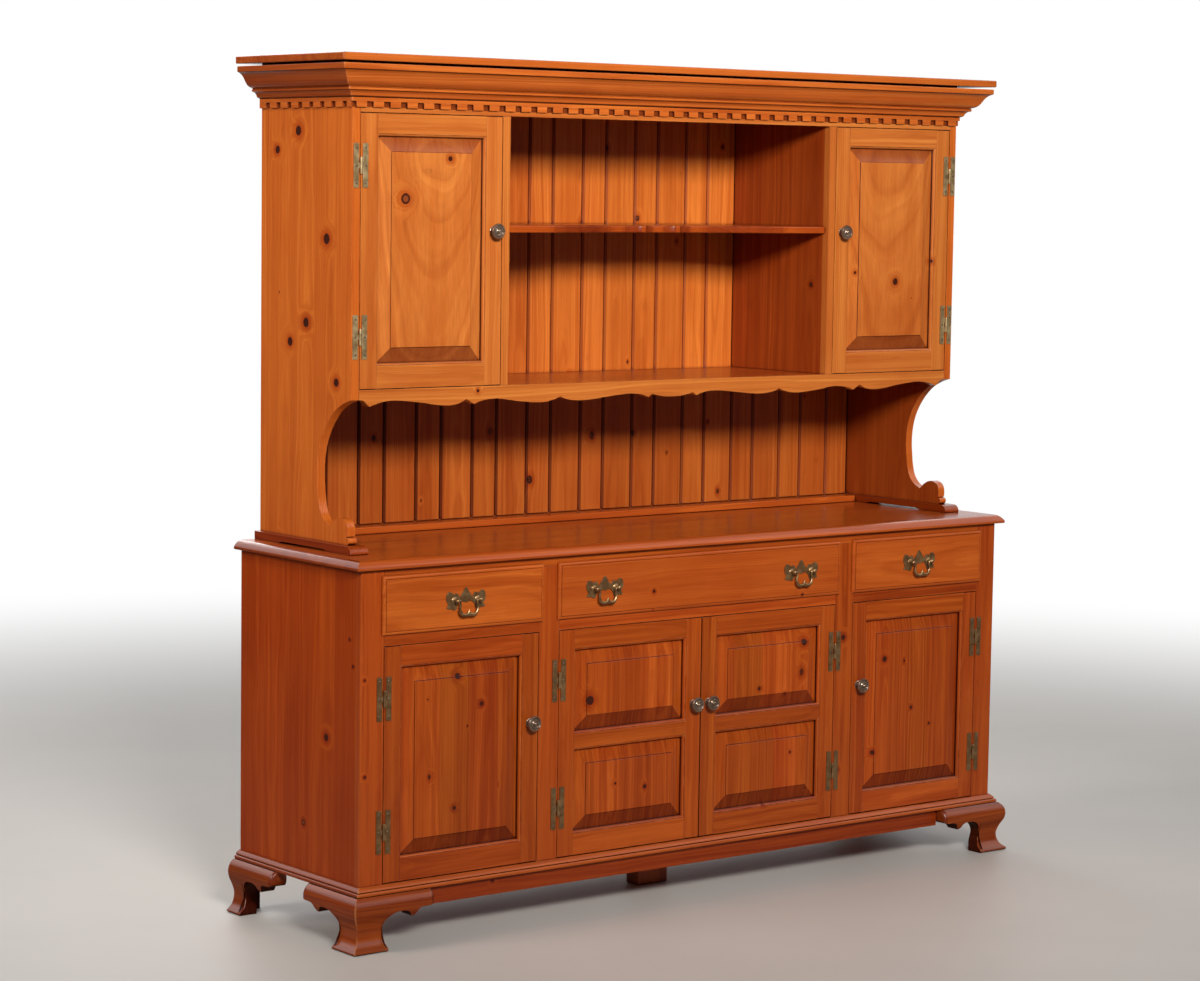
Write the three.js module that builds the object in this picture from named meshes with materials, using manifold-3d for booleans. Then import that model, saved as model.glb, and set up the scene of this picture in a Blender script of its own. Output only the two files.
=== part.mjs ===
import * as THREE from "three";
import { mergeVertices } from "three/addons/utils/BufferGeometryUtils.js";
import Module from "manifold-3d";

const wasm = await Module();
wasm.setup();

// All sizes are in millimetres. The front faces -Y and +Z is up.
// While the pieces are made, y = 0 is the face of the base and x = 0 is the middle.

// Overall sizes
const baseWidth = 1830;
const caseDepth = 467;
const baseHeight = 816;
const totalHeight = 1854;
const upperInset = 48;
const stepBack = 116;
const boardThickness = 20;
const backThickness = 12;

// Base case
const footHeight = 116;
const mouldingHeight = 19;
const skirtDrop = 39;
const baseTopThickness = 20;
const baseTopFrontInset = 4;
const outerStileWidth = 57;
const middleStileWidth = 54;
const baseTopRailHeight = 21;
const drawerOpeningHeight = 110;
const dividingRailHeight = 30;
const baseBottomThickness = 18;
const partitionThickness = 18;

// Upper case
const deckHeight = 343;
const deckThickness = 20;
const upperDoorOpeningWidth = 366;
const upperStileWidth = 20;
const shelfRiseShare = 0.597;
const shelfThickness = 16;
const topBoardThickness = 16;
const topBoardOverhang = 5;
const crownReveal = 5;
const crownHeight = 88;
const friezeHeight = 10;
const crownReach = 62;

// Doors
const doorGap = 1.5;
const doorThickness = 20;
const doorStileWidth = 42;
const doorBottomRailHeight = 48;
const doorMiddleRailHeight = 32;
const panelBevel = 36;
const panelFieldDepth = 3;
const panelFieldStep = 1.5;
const panelRimDepth = 9;
const stickingWidth = 4;

// Drawers
const drawerLip = 7;
const drawerLipThickness = 8;
const drawerEdgeRound = 4;
const drawerFrontThickness = 20;
const drawerSideThickness = 12;
const drawerBottomThickness = 7;
const drawerBottomRise = 8;
const drawerRearGap = 43;
const drawerBoxDrop = 14;
const drawerClearance = 1.5;
const runnerWidth = 18;
const runnerHeight = 16;

// Hinges
const leafWidth = 13;
const leafHeight = 92;
const leafThickness = 2;
const leafStandOff = 5;
const barrelRadius = 3.2;
const barrelHeight = 34;
const pinRadius = 1.5;
const pinClearance = 0.3;
const hingeShare = 0.22;
const upperHingeShare = 0.191;

// Knobs
const knobLength = 26;
const knobRadius = 17;
const knobHeightShare = 0.61;
const upperKnobHeightShare = 0.575;

// Drawer pulls
const pullWidth = 102;
const pullCrest = 27;
const pullDrop = 21;
const pullPlateThickness = 2;
const postSpacing = 60;
const postBallRadius = 5.2;
const postStemRadius = 3.4;
const postReach = 11;
const bailRadius = 2.2;
const bailDrop = 31;
const bailClearance = 0.4;
const bailEndGap = 0.8;
const outerPullShare = 0.5;
const centrePullShare = 0.355;

// Sled feet under the upper case
const shoeHeight = 18;
const shoeWidth = 45;
const shoeOutset = 15;
const shoeFront = 90;
const shoeSlotHeight = 4;
const shoeSlotShares = [0.24, 0.75];

// Bracket feet
const footWing = 172;
const footInner = 10;
const footLeg = 44;
const rearFootReturn = 110;

// Seats between pieces that would otherwise meet on curved or cut edges
const seatGap = 0.3;

// A bend of an outline smaller than this counts as straight
const straightness = 0.001;

// Derived places
const baseHalf = baseWidth / 2;
const upperHalf = baseHalf - upperInset;
const baseCaseTop = baseHeight - baseTopThickness;
const mouldingTop = footHeight + mouldingHeight;
const doorOpeningBottom = mouldingTop;
const drawerOpeningTop = baseCaseTop - baseTopRailHeight;
const drawerOpeningBottom = drawerOpeningTop - drawerOpeningHeight;
const doorOpeningTop = drawerOpeningBottom - dividingRailHeight;
const bayWidth = (baseWidth - 2 * outerStileWidth - 2 * middleStileWidth) / 4;
const outerBayEdge = baseHalf - outerStileWidth;
const outerBayInnerEdge = outerBayEdge - bayWidth;
const centreBayEdge = outerBayInnerEdge - middleStileWidth;
const middleStileCentre = (outerBayInnerEdge + centreBayEdge) / 2;
const backFace = caseDepth - backThickness;
const deckTop = baseHeight + deckHeight;
const upperInnerHalf = upperHalf - boardThickness;
const upperDoorInnerEdge = upperInnerHalf - upperDoorOpeningWidth;
const centreOpeningEdge = upperDoorInnerEdge - upperStileWidth;
const topBoardBottom = totalHeight - topBoardThickness;
const crownTop = topBoardBottom - crownReveal;
const crownBottom = crownTop - crownHeight;
const upperOpeningTop = crownBottom - friezeHeight;
const shoeTop = baseHeight + shoeHeight;
const upperFrameRear = stepBack + boardThickness;

// A closed geometry as a solid that can be joined and cut.
function solidFrom(geometry) {
  geometry.deleteAttribute("normal");
  geometry.deleteAttribute("uv");
  const merged = mergeVertices(geometry);
  const corners = merged.index.array;
  const triangles = [];
  for (let i = 0; i < corners.length; i += 3) {
    const [a, b, c] = corners.slice(i, i + 3);
    if (a !== b && b !== c && c !== a) {
      triangles.push(a, b, c);
    }
  }
  return new wasm.Manifold(new wasm.Mesh({
    numProp: 3,
    vertProperties: new Float32Array(merged.attributes.position.array),
    triVerts: new Uint32Array(triangles),
  }));
}

function join(solids) {
  return wasm.Manifold.union(solids);
}

function box(x0, x1, y0, y1, z0, z1) {
  const place = new THREE.Matrix4()
    .makeScale(Math.abs(x1 - x0), Math.abs(y1 - y0), Math.abs(z1 - z0))
    .setPosition((x0 + x1) / 2, (y0 + y1) / 2, (z0 + z1) / 2);
  return solidFrom(new THREE.BoxGeometry(1, 1, 1).applyMatrix4(place));
}

// An outline drawn out by one unit; a point on the straight line between its neighbours is left out.
function drawn(points, place) {
  const outline = points.filter(([u, v], i) => {
    const [u0, v0] = points.at(i - 1);
    const [u1, v1] = points[(i + 1) % points.length];
    return Math.abs((u - u0) * (v1 - v0) - (v - v0) * (u1 - u0)) > straightness * straightness;
  });
  const shape = new THREE.Shape(outline.map(([u, v]) => new THREE.Vector2(u, v)));
  return solidFrom(new THREE.ExtrudeGeometry(shape, { depth: 1, bevelEnabled: false }).applyMatrix4(place));
}

// Outline of (x, y) points drawn upward from z0 to z1.
function alongZ(points, z0, z1) {
  return drawn(points, new THREE.Matrix4().set(1, 0, 0, 0, 0, 1, 0, 0, 0, 0, z1 - z0, z0, 0, 0, 0, 1));
}

// Outline of (y, z) points drawn from x0 to x1.
function alongX(points, x0, x1) {
  return drawn(points, new THREE.Matrix4().set(0, 0, x1 - x0, x0, 1, 0, 0, 0, 0, 1, 0, 0, 0, 0, 0, 1));
}

// Outline of (x, z) points drawn from y1 forward to y0.
function alongY(points, y0, y1) {
  return drawn(points, new THREE.Matrix4().set(1, 0, 0, 0, 0, 0, y0 - y1, y1, 0, 1, 0, 0, 0, 0, 0, 1));
}

function mirrorX(solid) {
  return solid.mirror([1, 0, 0]);
}

// A solid through rings of as many points each, closed flat at both ends.
function solidOf(rings) {
  const count = rings[0].length;
  const last = rings.length * count - count;
  const triangles = [];
  for (let first = 0; first < last; first += count) {
    for (let i = 0; i < count; i += 1) {
      const a = first + i;
      const b = first + ((i + 1) % count);
      triangles.push(a, b, b + count, a, b + count, a + count);
    }
  }
  for (let i = 2; i < count; i += 1) {
    triangles.push(0, i, i - 1, last, last + i - 1, last + i);
  }
  const geometry = new THREE.BufferGeometry();
  geometry.setAttribute("position", new THREE.Float32BufferAttribute(rings.flat(2), 3));
  geometry.setIndex(triangles);
  return solidFrom(geometry);
}

// A block whose front and two sides follow a profile of (reach, z) points; its rear is flat.
function mouldedBlock(profile, half, front, rear) {
  return solidOf(profile.map(([reach, z]) => [
    [-half - reach, front - reach, z],
    [half + reach, front - reach, z],
    [half + reach, rear, z],
    [-half - reach, rear, z],
  ]));
}

// A block between two rectangles given as [y, x0, x1, z0, z1], with more of them on the way.
function tapered(sections) {
  return solidOf(sections.map(([y, x0, x1, z0, z1]) => [
    [x0, y, z0],
    [x0, y, z1],
    [x1, y, z1],
    [x1, y, z0],
  ]));
}

// A turned piece of (radius, distance) points, standing out from the face at y toward the front.
function turned(points, x, y, z, sides) {
  const profile = [[0, 0], ...points, [0, points.at(-1)[1]]];
  const geometry = new THREE.LatheGeometry(profile.map(([u, v]) => new THREE.Vector2(u, v)), sides);
  return solidFrom(geometry.rotateX(Math.PI).translate(x, y, z));
}

function rodX(x0, x1, y, z, radius, sides) {
  const geometry = new THREE.CylinderGeometry(radius, radius, x1 - x0, sides);
  return solidFrom(geometry.rotateZ(Math.PI / 2).translate((x0 + x1) / 2, y, z));
}

function rodZ(x, y, z0, z1, radius, sides) {
  const geometry = new THREE.CylinderGeometry(radius, radius, Math.abs(z1 - z0), sides);
  return solidFrom(geometry.rotateX(Math.PI / 2).translate(x, y, (z0 + z1) / 2));
}

function curvePoints(points, steps) {
  const places = points.map(([u, v]) => new THREE.Vector3(u, v, 0));
  const curve = new THREE.CatmullRomCurve3(places, false, "centripetal");
  return curve.getPoints(steps).map((point) => [point.x, point.y]);
}

function arcPoints(centre, radius, startTurn, endTurn, steps) {
  const points = [];
  for (let i = 0; i <= steps; i += 1) {
    const angle = 2 * Math.PI * (startTurn + ((endTurn - startTurn) * i) / steps);
    points.push([centre[0] + radius * Math.cos(angle), centre[1] + radius * Math.sin(angle)]);
  }
  return points;
}

const pieces = [];
function add(name, solid, material) {
  pieces.push({ name, solid, material });
}

const pine = new THREE.MeshStandardMaterial({ color: 0xb4632a, roughness: 0.45, name: "pine" });
const brass = new THREE.MeshStandardMaterial({
  color: 0x7d6b45,
  roughness: 0.4,
  metalness: 0.9,
  name: "brass",
});

// Top board: a flat board with its front and side edges rounded.
const boardEdgeShares = [[-0.3, 0], [-0.08, 0.1], [0, 0.3], [0, 0.7], [-0.08, 0.9], [-0.3, 1]];
const topBoardReach = crownReach + topBoardOverhang;
add("top_board", mouldedBlock(
  boardEdgeShares.map(([reachShare, heightShare]) => [
    topBoardReach + topBoardThickness * reachShare,
    topBoardBottom + topBoardThickness * heightShare,
  ]),
  upperHalf,
  stepBack,
  caseDepth,
), pine);

// Cornice: a crown moulding that returns along both sides, with a dentil strip under it.
const dentilReach = 6;
const dentilHeight = 12;
const dentilBand = 8;
const dentilPitch = 42.4;
const dentilGap = 16;
const crownLowerShares = [[0.16, 0.035], [0.2, 0.055], [0.22, 0.105], [0.26, 0.16], [0.315, 0.2],
  [0.375, 0.215], [0.4, 0.24], [0.4, 0.3]];
const crownSweepShares = [[0.415, 0.33], [0.467, 0.349], [0.536, 0.378], [0.62, 0.449], [0.688, 0.547],
  [0.755, 0.655], [0.84, 0.749], [0.925, 0.8], [0.965, 0.815]];
const crownUpperShares = [[1, 0.85], [1, 0.975], [0.98, 1]];
const dentilTop = crownBottom + dentilHeight;
const dentilBandTop = dentilTop + dentilBand;
function crownPoint([reachShare, heightShare]) {
  return [crownReach * reachShare, dentilBandTop + (crownTop - dentilBandTop) * heightShare];
}
const crownProfile = [
  [0, crownBottom],
  [dentilReach, crownBottom],
  [dentilReach, dentilBandTop],
  ...crownLowerShares.map(crownPoint),
  ...crownSweepShares.map(crownPoint),
  ...crownUpperShares.map(crownPoint),
];
const crownBack = box(-upperHalf, upperHalf, stepBack, caseDepth + boardThickness,
  crownBottom - boardThickness, totalHeight);
const dentilDepth = dentilReach / 2;
const dentilCuts = [];
const frontDentils = Math.floor((upperHalf + dentilReach) / dentilPitch);
for (let i = -frontDentils; i < frontDentils; i += 1) {
  const middle = (i + 1 / 2) * dentilPitch;
  dentilCuts.push(box(middle - dentilGap / 2, middle + dentilGap / 2,
    stepBack - 2 * dentilReach, stepBack - dentilDepth, crownBottom - dentilReach, dentilTop));
}
const sideDentils = Math.floor((caseDepth - stepBack) / dentilPitch);
for (let i = 0; i < sideDentils; i += 1) {
  const middle = stepBack + (i + 1 / 2) * dentilPitch;
  const cut = box(-upperHalf - 2 * dentilReach, -upperHalf - dentilDepth,
    middle - dentilGap / 2, middle + dentilGap / 2, crownBottom - dentilReach, dentilTop);
  dentilCuts.push(cut, mirrorX(cut));
}
add("cornice", mouldedBlock(crownProfile, upperHalf, stepBack, caseDepth)
  .subtract(crownBack)
  .subtract(join(dentilCuts)), pine);

// Sides of the upper case: a deep C cut above a scrolled foot that stands on the sled foot.
const cutHeight = deckTop - shoeTop;
const cutShares = [[0, 0.935], [0.075, 0.91], [0.165, 0.86], [0.242, 0.784], [0.297, 0.705],
  [0.334, 0.624], [0.356, 0.53], [0.362, 0.43], [0.355, 0.345], [0.345, 0.266], [0.322, 0.19],
  [0.28, 0.138], [0.215, 0.102]];
const scrollShares = [[0.215, 0.102], [0.18, 0.138], [0.135, 0.162], [0.09, 0.169], [0.052, 0.16],
  [0.03, 0.13], [0.025, 0.09], [0.026, 0.054]];
const beadShares = [[0.042, 0.05], [0.024, 0.046], [0.012, 0.034], [0.013, 0.014], [0.027, 0]];
function sidePoint([depthShare, heightShare]) {
  return [stepBack + (caseDepth - stepBack) * depthShare, shoeTop + cutHeight * heightShare];
}
const cutCurve = curvePoints(cutShares.map(sidePoint), 22);
const scrollCurve = curvePoints(scrollShares.map(sidePoint), 14).slice(1);
const beadCurve = curvePoints(beadShares.map(sidePoint), 6);
const sideOutline = [
  [stepBack, topBoardBottom],
  ...cutCurve,
  ...scrollCurve,
  ...beadCurve,
  [caseDepth, shoeTop],
  [caseDepth, topBoardBottom],
];
const upperLeftSide = alongX(sideOutline, -upperHalf, -upperInnerHalf);
add("upper_left_side", upperLeftSide, pine);
add("upper_right_side", mirrorX(upperLeftSide), pine);

// Face frame of the upper case: top rail, two stiles and the scalloped apron in one glued frame.
const apronHeight = 41;
const frameHalf = upperInnerHalf - seatGap;
const apronMiddleShares = [[0, 0.93], [0.03, 0.9], [0.058, 0.8], [0.07, 0.74]];
const apronFirstShares = [[0.082, 0.92], [0.09, 0.86], [0.105, 0.76], [0.145, 0.68], [0.2, 0.76],
  [0.29, 0.94], [0.33, 0.93], [0.358, 0.84], [0.376, 0.7]];
const apronSecondShares = [[0.39, 0.82], [0.42, 0.95], [0.46, 0.96], [0.52, 0.84], [0.575, 0.69],
  [0.61, 0.72], [0.635, 0.82], [0.65, 0.94]];
const apronThirdShares = [[0.674, 0.66], [0.69, 0.82], [0.712, 0.93], [0.75, 0.94], [0.82, 0.74],
  [0.893, 0.6], [0.93, 0.66], [0.952, 0.78], [0.968, 0.88]];
const apronEndShares = [[0.974, 0.8], [0.987, 0.56], [1, 0.52]];
function apronCurve(shares, steps) {
  return curvePoints(shares.map(([widthShare, dropShare]) => [
    frameHalf * widthShare,
    deckTop - apronHeight * dropShare,
  ]), steps);
}
const apronHalf = [
  ...apronCurve(apronMiddleShares, 5),
  ...apronCurve(apronFirstShares, 15),
  ...apronCurve(apronSecondShares, 14),
  ...apronCurve(apronThirdShares, 15),
  ...apronCurve(apronEndShares, 4),
];
const apronOutline = [
  ...apronHalf,
  [frameHalf, deckTop],
  [-frameHalf, deckTop],
  ...apronHalf.slice(1).reverse().map(([x, z]) => [-x, z]),
];
const stileBottom = deckTop - deckThickness;
const upperFrame = join([
  alongY(apronOutline, stepBack, upperFrameRear),
  box(-frameHalf, frameHalf, stepBack, upperFrameRear, upperOpeningTop, topBoardBottom),
  box(centreOpeningEdge, upperDoorInnerEdge, stepBack, upperFrameRear, stileBottom, topBoardBottom),
  box(-upperDoorInnerEdge, -centreOpeningEdge, stepBack, upperFrameRear, stileBottom, topBoardBottom),
]);
add("upper_face_frame", upperFrame, pine);

// Deck, partitions and the shaped centre shelf inside the upper case.
add("upper_deck", box(-upperInnerHalf, upperInnerHalf, upperFrameRear, backFace, stileBottom, deckTop), pine);
const upperRightPartition = box(centreOpeningEdge, upperDoorInnerEdge, upperFrameRear, backFace,
  deckTop, topBoardBottom);
add("upper_left_partition", mirrorX(upperRightPartition), pine);
add("upper_right_partition", upperRightPartition, pine);

const shelfDepth = backFace - stepBack;
const shelfMiddleShares = [[0, 0.185], [0.035, 0.182], [0.07, 0.17], [0.095, 0.15], [0.12, 0.15]];
const shelfSweepShares = [[0.13, 0.162], [0.22, 0.19], [0.36, 0.17], [0.54, 0.095], [0.72, 0.035],
  [0.88, 0.028], [1, 0.03]];
function shelfPoint([widthShare, depthShare]) {
  return [centreOpeningEdge * widthShare, stepBack + shelfDepth * depthShare];
}
const shelfHalf = [
  ...shelfMiddleShares.map(shelfPoint),
  ...curvePoints(shelfSweepShares.map(shelfPoint), 14),
];
const shelfOutline = [
  ...shelfHalf,
  [centreOpeningEdge, backFace],
  [-centreOpeningEdge, backFace],
  ...shelfHalf.slice(1).reverse().map(([x, y]) => [-x, y]),
];
const shelfTop = deckTop + (upperOpeningTop - deckTop) * shelfRiseShare;
add("centre_shelf", alongZ(shelfOutline, shelfTop - shelfThickness, shelfTop), pine);

// Back boards: grooved vertical boards, with the ledge that joins the two sled feet in front of them.
const grooveWidth = 7;
const grooveDepth = 4;
const backBoardWidth = 154.8;
const grooveShares = [0, 0.44];
const ledgeHeight = 16;
const ledgeDepth = 45;
const backHalf = upperInnerHalf;
const grooves = [];
const boardCount = Math.ceil(upperHalf / backBoardWidth) + 1;
for (let i = -boardCount; i <= boardCount; i += 1) {
  for (const share of grooveShares) {
    const x = (i + share) * backBoardWidth;
    if (Math.abs(x) < backHalf - grooveWidth) {
      grooves.push(x);
    }
  }
}
const backOutline = [
  [-backHalf, backFace],
  ...grooves.flatMap((x) => [
    [x - grooveWidth / 2, backFace],
    [x, backFace + grooveDepth],
    [x + grooveWidth / 2, backFace],
  ]),
  [backHalf, backFace],
  [backHalf, caseDepth],
  [-backHalf, caseDepth],
];
const ledgeHalf = upperHalf + shoeOutset - shoeWidth - seatGap;
const ledge = box(-ledgeHalf, ledgeHalf, backFace - ledgeDepth, caseDepth,
  baseHeight, baseHeight + ledgeHeight);
const ledgeRear = box(-ledgeHalf, ledgeHalf, backFace + grooveDepth, caseDepth, baseHeight + seatGap,
  shoeTop + seatGap);
add("back_boards", alongZ(backOutline, shoeTop, topBoardBottom).add(ledge).add(ledgeRear), pine);

// Sled feet under the upper sides, with a round nose and a shallow arch underneath.
const shoeLength = caseDepth - shoeFront;
const noseShare = 0.9;
const noseFlatShare = 0.1;
const noseDepth = shoeHeight * noseShare;
const slotFront = shoeFront + shoeLength * shoeSlotShares[0];
const slotRear = shoeFront + shoeLength * shoeSlotShares[1];
const slotRampShares = [0.08, 0.92];
const quarterShare = 0.25;
const shoeOutline = [
  [shoeFront + noseDepth * noseFlatShare, baseHeight],
  [slotFront, baseHeight],
  [slotFront + (slotRear - slotFront) * slotRampShares[0], baseHeight + shoeSlotHeight],
  [slotFront + (slotRear - slotFront) * slotRampShares[1], baseHeight + shoeSlotHeight],
  [slotRear, baseHeight],
  [caseDepth, baseHeight],
  [caseDepth, shoeTop],
  ...arcPoints([shoeFront + noseDepth, shoeTop - noseDepth], noseDepth, quarterShare, 2 * quarterShare, 6),
];
const shoeInner = upperHalf + shoeOutset - shoeWidth;
const rightShoe = alongX(shoeOutline, shoeInner, upperHalf + shoeOutset);
add("left_shoe", mirrorX(rightShoe), pine);
add("right_shoe", rightShoe, pine);

// Base top with a thumbnail edge.
const baseTopReach = 19;
const baseTopEdgeShares = [[0.82, 0], [0.94, 0.05], [1, 0.16], [0.99, 0.28], [0.92, 0.42], [0.8, 0.56],
  [0.66, 0.7], [0.5, 0.82], [0.34, 0.92], [0.12, 1]];
add("base_top", mouldedBlock(
  baseTopEdgeShares.map(([reachShare, heightShare]) => [
    baseTopReach * reachShare,
    baseCaseTop + baseTopThickness * heightShare,
  ]),
  baseHalf,
  baseTopFrontInset,
  caseDepth,
), pine);

// Base sides, face frame, partitions, bottom and back.
function runner(x0, x1) {
  return box(x0, x1, boardThickness, backFace, drawerOpeningBottom - runnerHeight, drawerOpeningBottom);
}
const baseRightSide = box(baseHalf - boardThickness, baseHalf, boardThickness, caseDepth,
  footHeight, baseCaseTop).add(runner(outerBayEdge - runnerWidth, baseHalf - boardThickness / 2));
add("base_left_side", mirrorX(baseRightSide), pine);
add("base_right_side", baseRightSide, pine);

const skirtBottom = footHeight - skirtDrop;
const skirtHalf = baseHalf - footWing - seatGap;
const framePlate = box(-baseHalf, baseHalf, 0, boardThickness, footHeight, baseCaseTop)
  .add(box(-skirtHalf, skirtHalf, 0, boardThickness, skirtBottom, mouldingTop));
const frameCuts = [];
for (const [x0, x1] of [[-outerBayEdge, -outerBayInnerEdge], [-centreBayEdge, centreBayEdge],
  [outerBayInnerEdge, outerBayEdge]]) {
  frameCuts.push(box(x0, x1, -boardThickness, 2 * boardThickness, doorOpeningBottom, doorOpeningTop));
  frameCuts.push(box(x0, x1, -boardThickness, 2 * boardThickness, drawerOpeningBottom, drawerOpeningTop));
}
add("base_face_frame", framePlate.subtract(join(frameCuts)), pine);

const partitionHalf = partitionThickness / 2;
const partitionBottom = footHeight + baseBottomThickness;
const partitionReach = middleStileWidth / 2 + runnerWidth;
const baseRightPartition = box(middleStileCentre - partitionHalf, middleStileCentre + partitionHalf,
  boardThickness, backFace, partitionBottom, baseCaseTop)
  .add(runner(middleStileCentre - partitionReach, middleStileCentre + partitionReach));
add("base_left_partition", mirrorX(baseRightPartition), pine);
add("base_right_partition", baseRightPartition, pine);

const baseInnerHalf = baseHalf - boardThickness;
const supportWidth = 86;
const supportFront = 160;
const supportDepth = 44;
const bottomBoard = box(-baseInnerHalf, baseInnerHalf, boardThickness, backFace, footHeight, partitionBottom);
const centreSupport = box(-supportWidth / 2, supportWidth / 2, supportFront, supportFront + supportDepth,
  0, partitionBottom);
add("base_bottom", bottomBoard.add(centreSupport), pine);
add("base_back", box(-baseInnerHalf, baseInnerHalf, backFace, caseDepth, footHeight, baseCaseTop), pine);

// Base moulding around the front and both sides.
const mouldingReach = 15;
const mouldingShares = [[0, 0], [0.96, 0], [1, 0.12], [0.97, 0.28], [0.8, 0.42], [0.62, 0.48], [0.56, 0.54],
  [0.54, 0.66], [0.44, 0.78], [0.24, 0.88], [0.2, 1], [0, 1]];
const mouldingProfile = mouldingShares.map(([reachShare, heightShare]) => [
  mouldingReach * reachShare,
  footHeight + mouldingHeight * heightShare,
]);
const mouldingBack = box(-baseHalf, baseHalf, 0, caseDepth + boardThickness, 0, baseHeight);
add("base_moulding", mouldedBlock(mouldingProfile, baseHalf, 0, caseDepth).subtract(mouldingBack), pine);

// Bracket feet: an S-shaped outer face, scalloped wings along the front and the side.
const footToe = 34;
const toeShares = [[0.96, 0], [1, 0.03]];
const footShares = [[0.985, 0.052], [0.86, 0.08], [0.68, 0.125], [0.535, 0.205], [0.465, 0.29],
  [0.465, 0.38], [0.63, 0.53], [0.845, 0.66], [0.915, 0.79], [0.835, 0.89], [0.71, 0.95], [0.5, 1]];
function footPoint([reachShare, heightShare]) {
  return [footToe * reachShare, footHeight * heightShare];
}
const footOutline = [
  ...toeShares.map(footPoint),
  ...curvePoints(footShares.map(footPoint), 15),
];
const legShares = [[0.06, 0], [0.065, 0.06], [0.055, 0.15], [0.03, 0.24], [0.01, 0.33], [0.015, 0.42],
  [0.047, 0.525], [0.13, 0.62], [0.25, 0.68], [0.39, 0.69]];
const cuspShares = [[0.39, 0.69], [0.46, 0.675], [0.51, 0.64], [0.547, 0.578], [0.575, 0.56],
  [0.61, 0.557]];
const wingEndShares = [[0.61, 0.557], [0.655, 0.62], [0.69, 0.68], [0.74, 0.705], [0.86, 0.715],
  [0.95, 0.725], [0.985, 0.76], [1, 0.82], [1, 0.93]];
function wingCurve(shares, steps) {
  return curvePoints(shares.map(([lengthShare, heightShare]) => [
    footLeg + (footWing - footLeg) * lengthShare,
    footHeight * heightShare,
  ]), steps);
}
const wingCut = [
  [footLeg, -footToe],
  ...wingCurve(legShares, 12),
  ...wingCurve(cuspShares, 6).slice(1),
  ...wingCurve(wingEndShares, 10).slice(1),
  [footWing, footHeight],
  [footWing + footToe, footHeight],
  [footWing + footToe, -footToe],
];
// The front foot's face curves around the corner; the rear foot is flat at the back.
function footBlock(frontY, rearY, frontCurves) {
  return solidOf(footOutline.map(([reach, z]) => {
    const front = frontCurves ? frontY - reach : frontY;
    return [
      [-baseHalf - reach, front, z],
      [-baseHalf + footWing, front, z],
      [-baseHalf + footWing, rearY, z],
      [-baseHalf - reach, rearY, z],
    ];
  }));
}
const footInside = -baseHalf + footInner;
const wingCutEdge = footInside + seatGap;
const sideWingCut = alongX(wingCut, -baseHalf - 2 * footToe, wingCutEdge);
const frontWingCut = alongY(wingCut.map(([u, z]) => [-baseHalf + u, z]), -2 * footToe, footInner + seatGap);
const footHollow = box(footInside, baseHalf, footInner, caseDepth, -footToe, footHeight + footToe);
const frontLeftFoot = footBlock(0, footWing, true).subtract(join([footHollow, sideWingCut, frontWingCut]));
add("front_left_foot", frontLeftFoot, pine);
add("front_right_foot", mirrorX(frontLeftFoot), pine);
const rearWingCut = alongX(wingCut.map(([u, z]) => [caseDepth - u, z]), -baseHalf - 2 * footToe, wingCutEdge);
const rearHollow = box(footInside, baseHalf, 0, backFace, -footToe, footHeight + footToe);
const rearReturn = box(-baseHalf + rearFootReturn, baseHalf, 0, 2 * caseDepth,
  -footToe, footHeight + footToe);
const rearLeftFoot = footBlock(caseDepth - footWing, caseDepth, false)
  .subtract(join([rearWingCut, rearHollow, rearReturn]));
add("rear_left_foot", rearLeftFoot, pine);
add("rear_right_foot", mirrorX(rearLeftFoot), pine);

// Hinges: the frame leaf carries the middle knuckle, the door leaf the two outer ones and the pin.
const knuckleHeight = barrelHeight / 3;
const knuckleRadius = barrelRadius - pinClearance;
const knuckleSideCount = 14;
const pinSideCount = 10;

function frameLeaf(x, y, z, side) {
  const barrelY = y - barrelRadius;
  const inner = x - side * leafStandOff;
  const outer = inner - side * leafWidth;
  const reach = knuckleHeight / 2 - pinClearance;
  const halfBarrel = barrelHeight / 2;
  return join([
    box(inner, outer, y - leafThickness, y, z - leafHeight / 2, z + leafHeight / 2),
    box(x, inner, y - leafThickness, y - pinClearance, z - reach, z + reach),
    rodZ(x, barrelY, z - reach, z + reach, knuckleRadius, knuckleSideCount),
  ]).subtract(rodZ(x, barrelY, z - halfBarrel, z + halfBarrel, pinRadius + pinClearance, pinSideCount));
}

function doorLeaf(x, y, z, side) {
  const barrelY = y - barrelRadius;
  const inner = x + side * leafStandOff;
  const outer = inner + side * leafWidth;
  const parts = [
    box(inner, outer, y - leafThickness, y + leafThickness, z - leafHeight / 2, z + leafHeight / 2),
    rodZ(x, barrelY, z - barrelHeight / 2, z + barrelHeight / 2, pinRadius, pinSideCount),
  ];
  for (const end of [-1, 1]) {
    const near = z + (end * knuckleHeight) / 2;
    const far = z + (end * barrelHeight) / 2;
    parts.push(rodZ(x, barrelY, near, far, knuckleRadius, knuckleSideCount));
    parts.push(box(x, inner + side * leafThickness, y - leafThickness, y - pinClearance, near, far));
  }
  return join(parts);
}

// Doors: a frame with raised panels.
function panelSolid(x0, x1, z0, z1, y) {
  const rim = y + panelRimDepth;
  const field = y + panelFieldDepth;
  const outer = [x0 - stickingWidth, x1 + stickingWidth, z0 - stickingWidth, z1 + stickingWidth];
  const inner = [x0 + panelBevel, x1 - panelBevel, z0 + panelBevel, z1 - panelBevel];
  return tapered([
    [field, ...inner],
    [field + panelFieldStep, ...inner],
    [rim, x0, x1, z0, z1],
    [rim, ...outer],
    [rim + stickingWidth, ...outer],
  ]);
}

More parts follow.
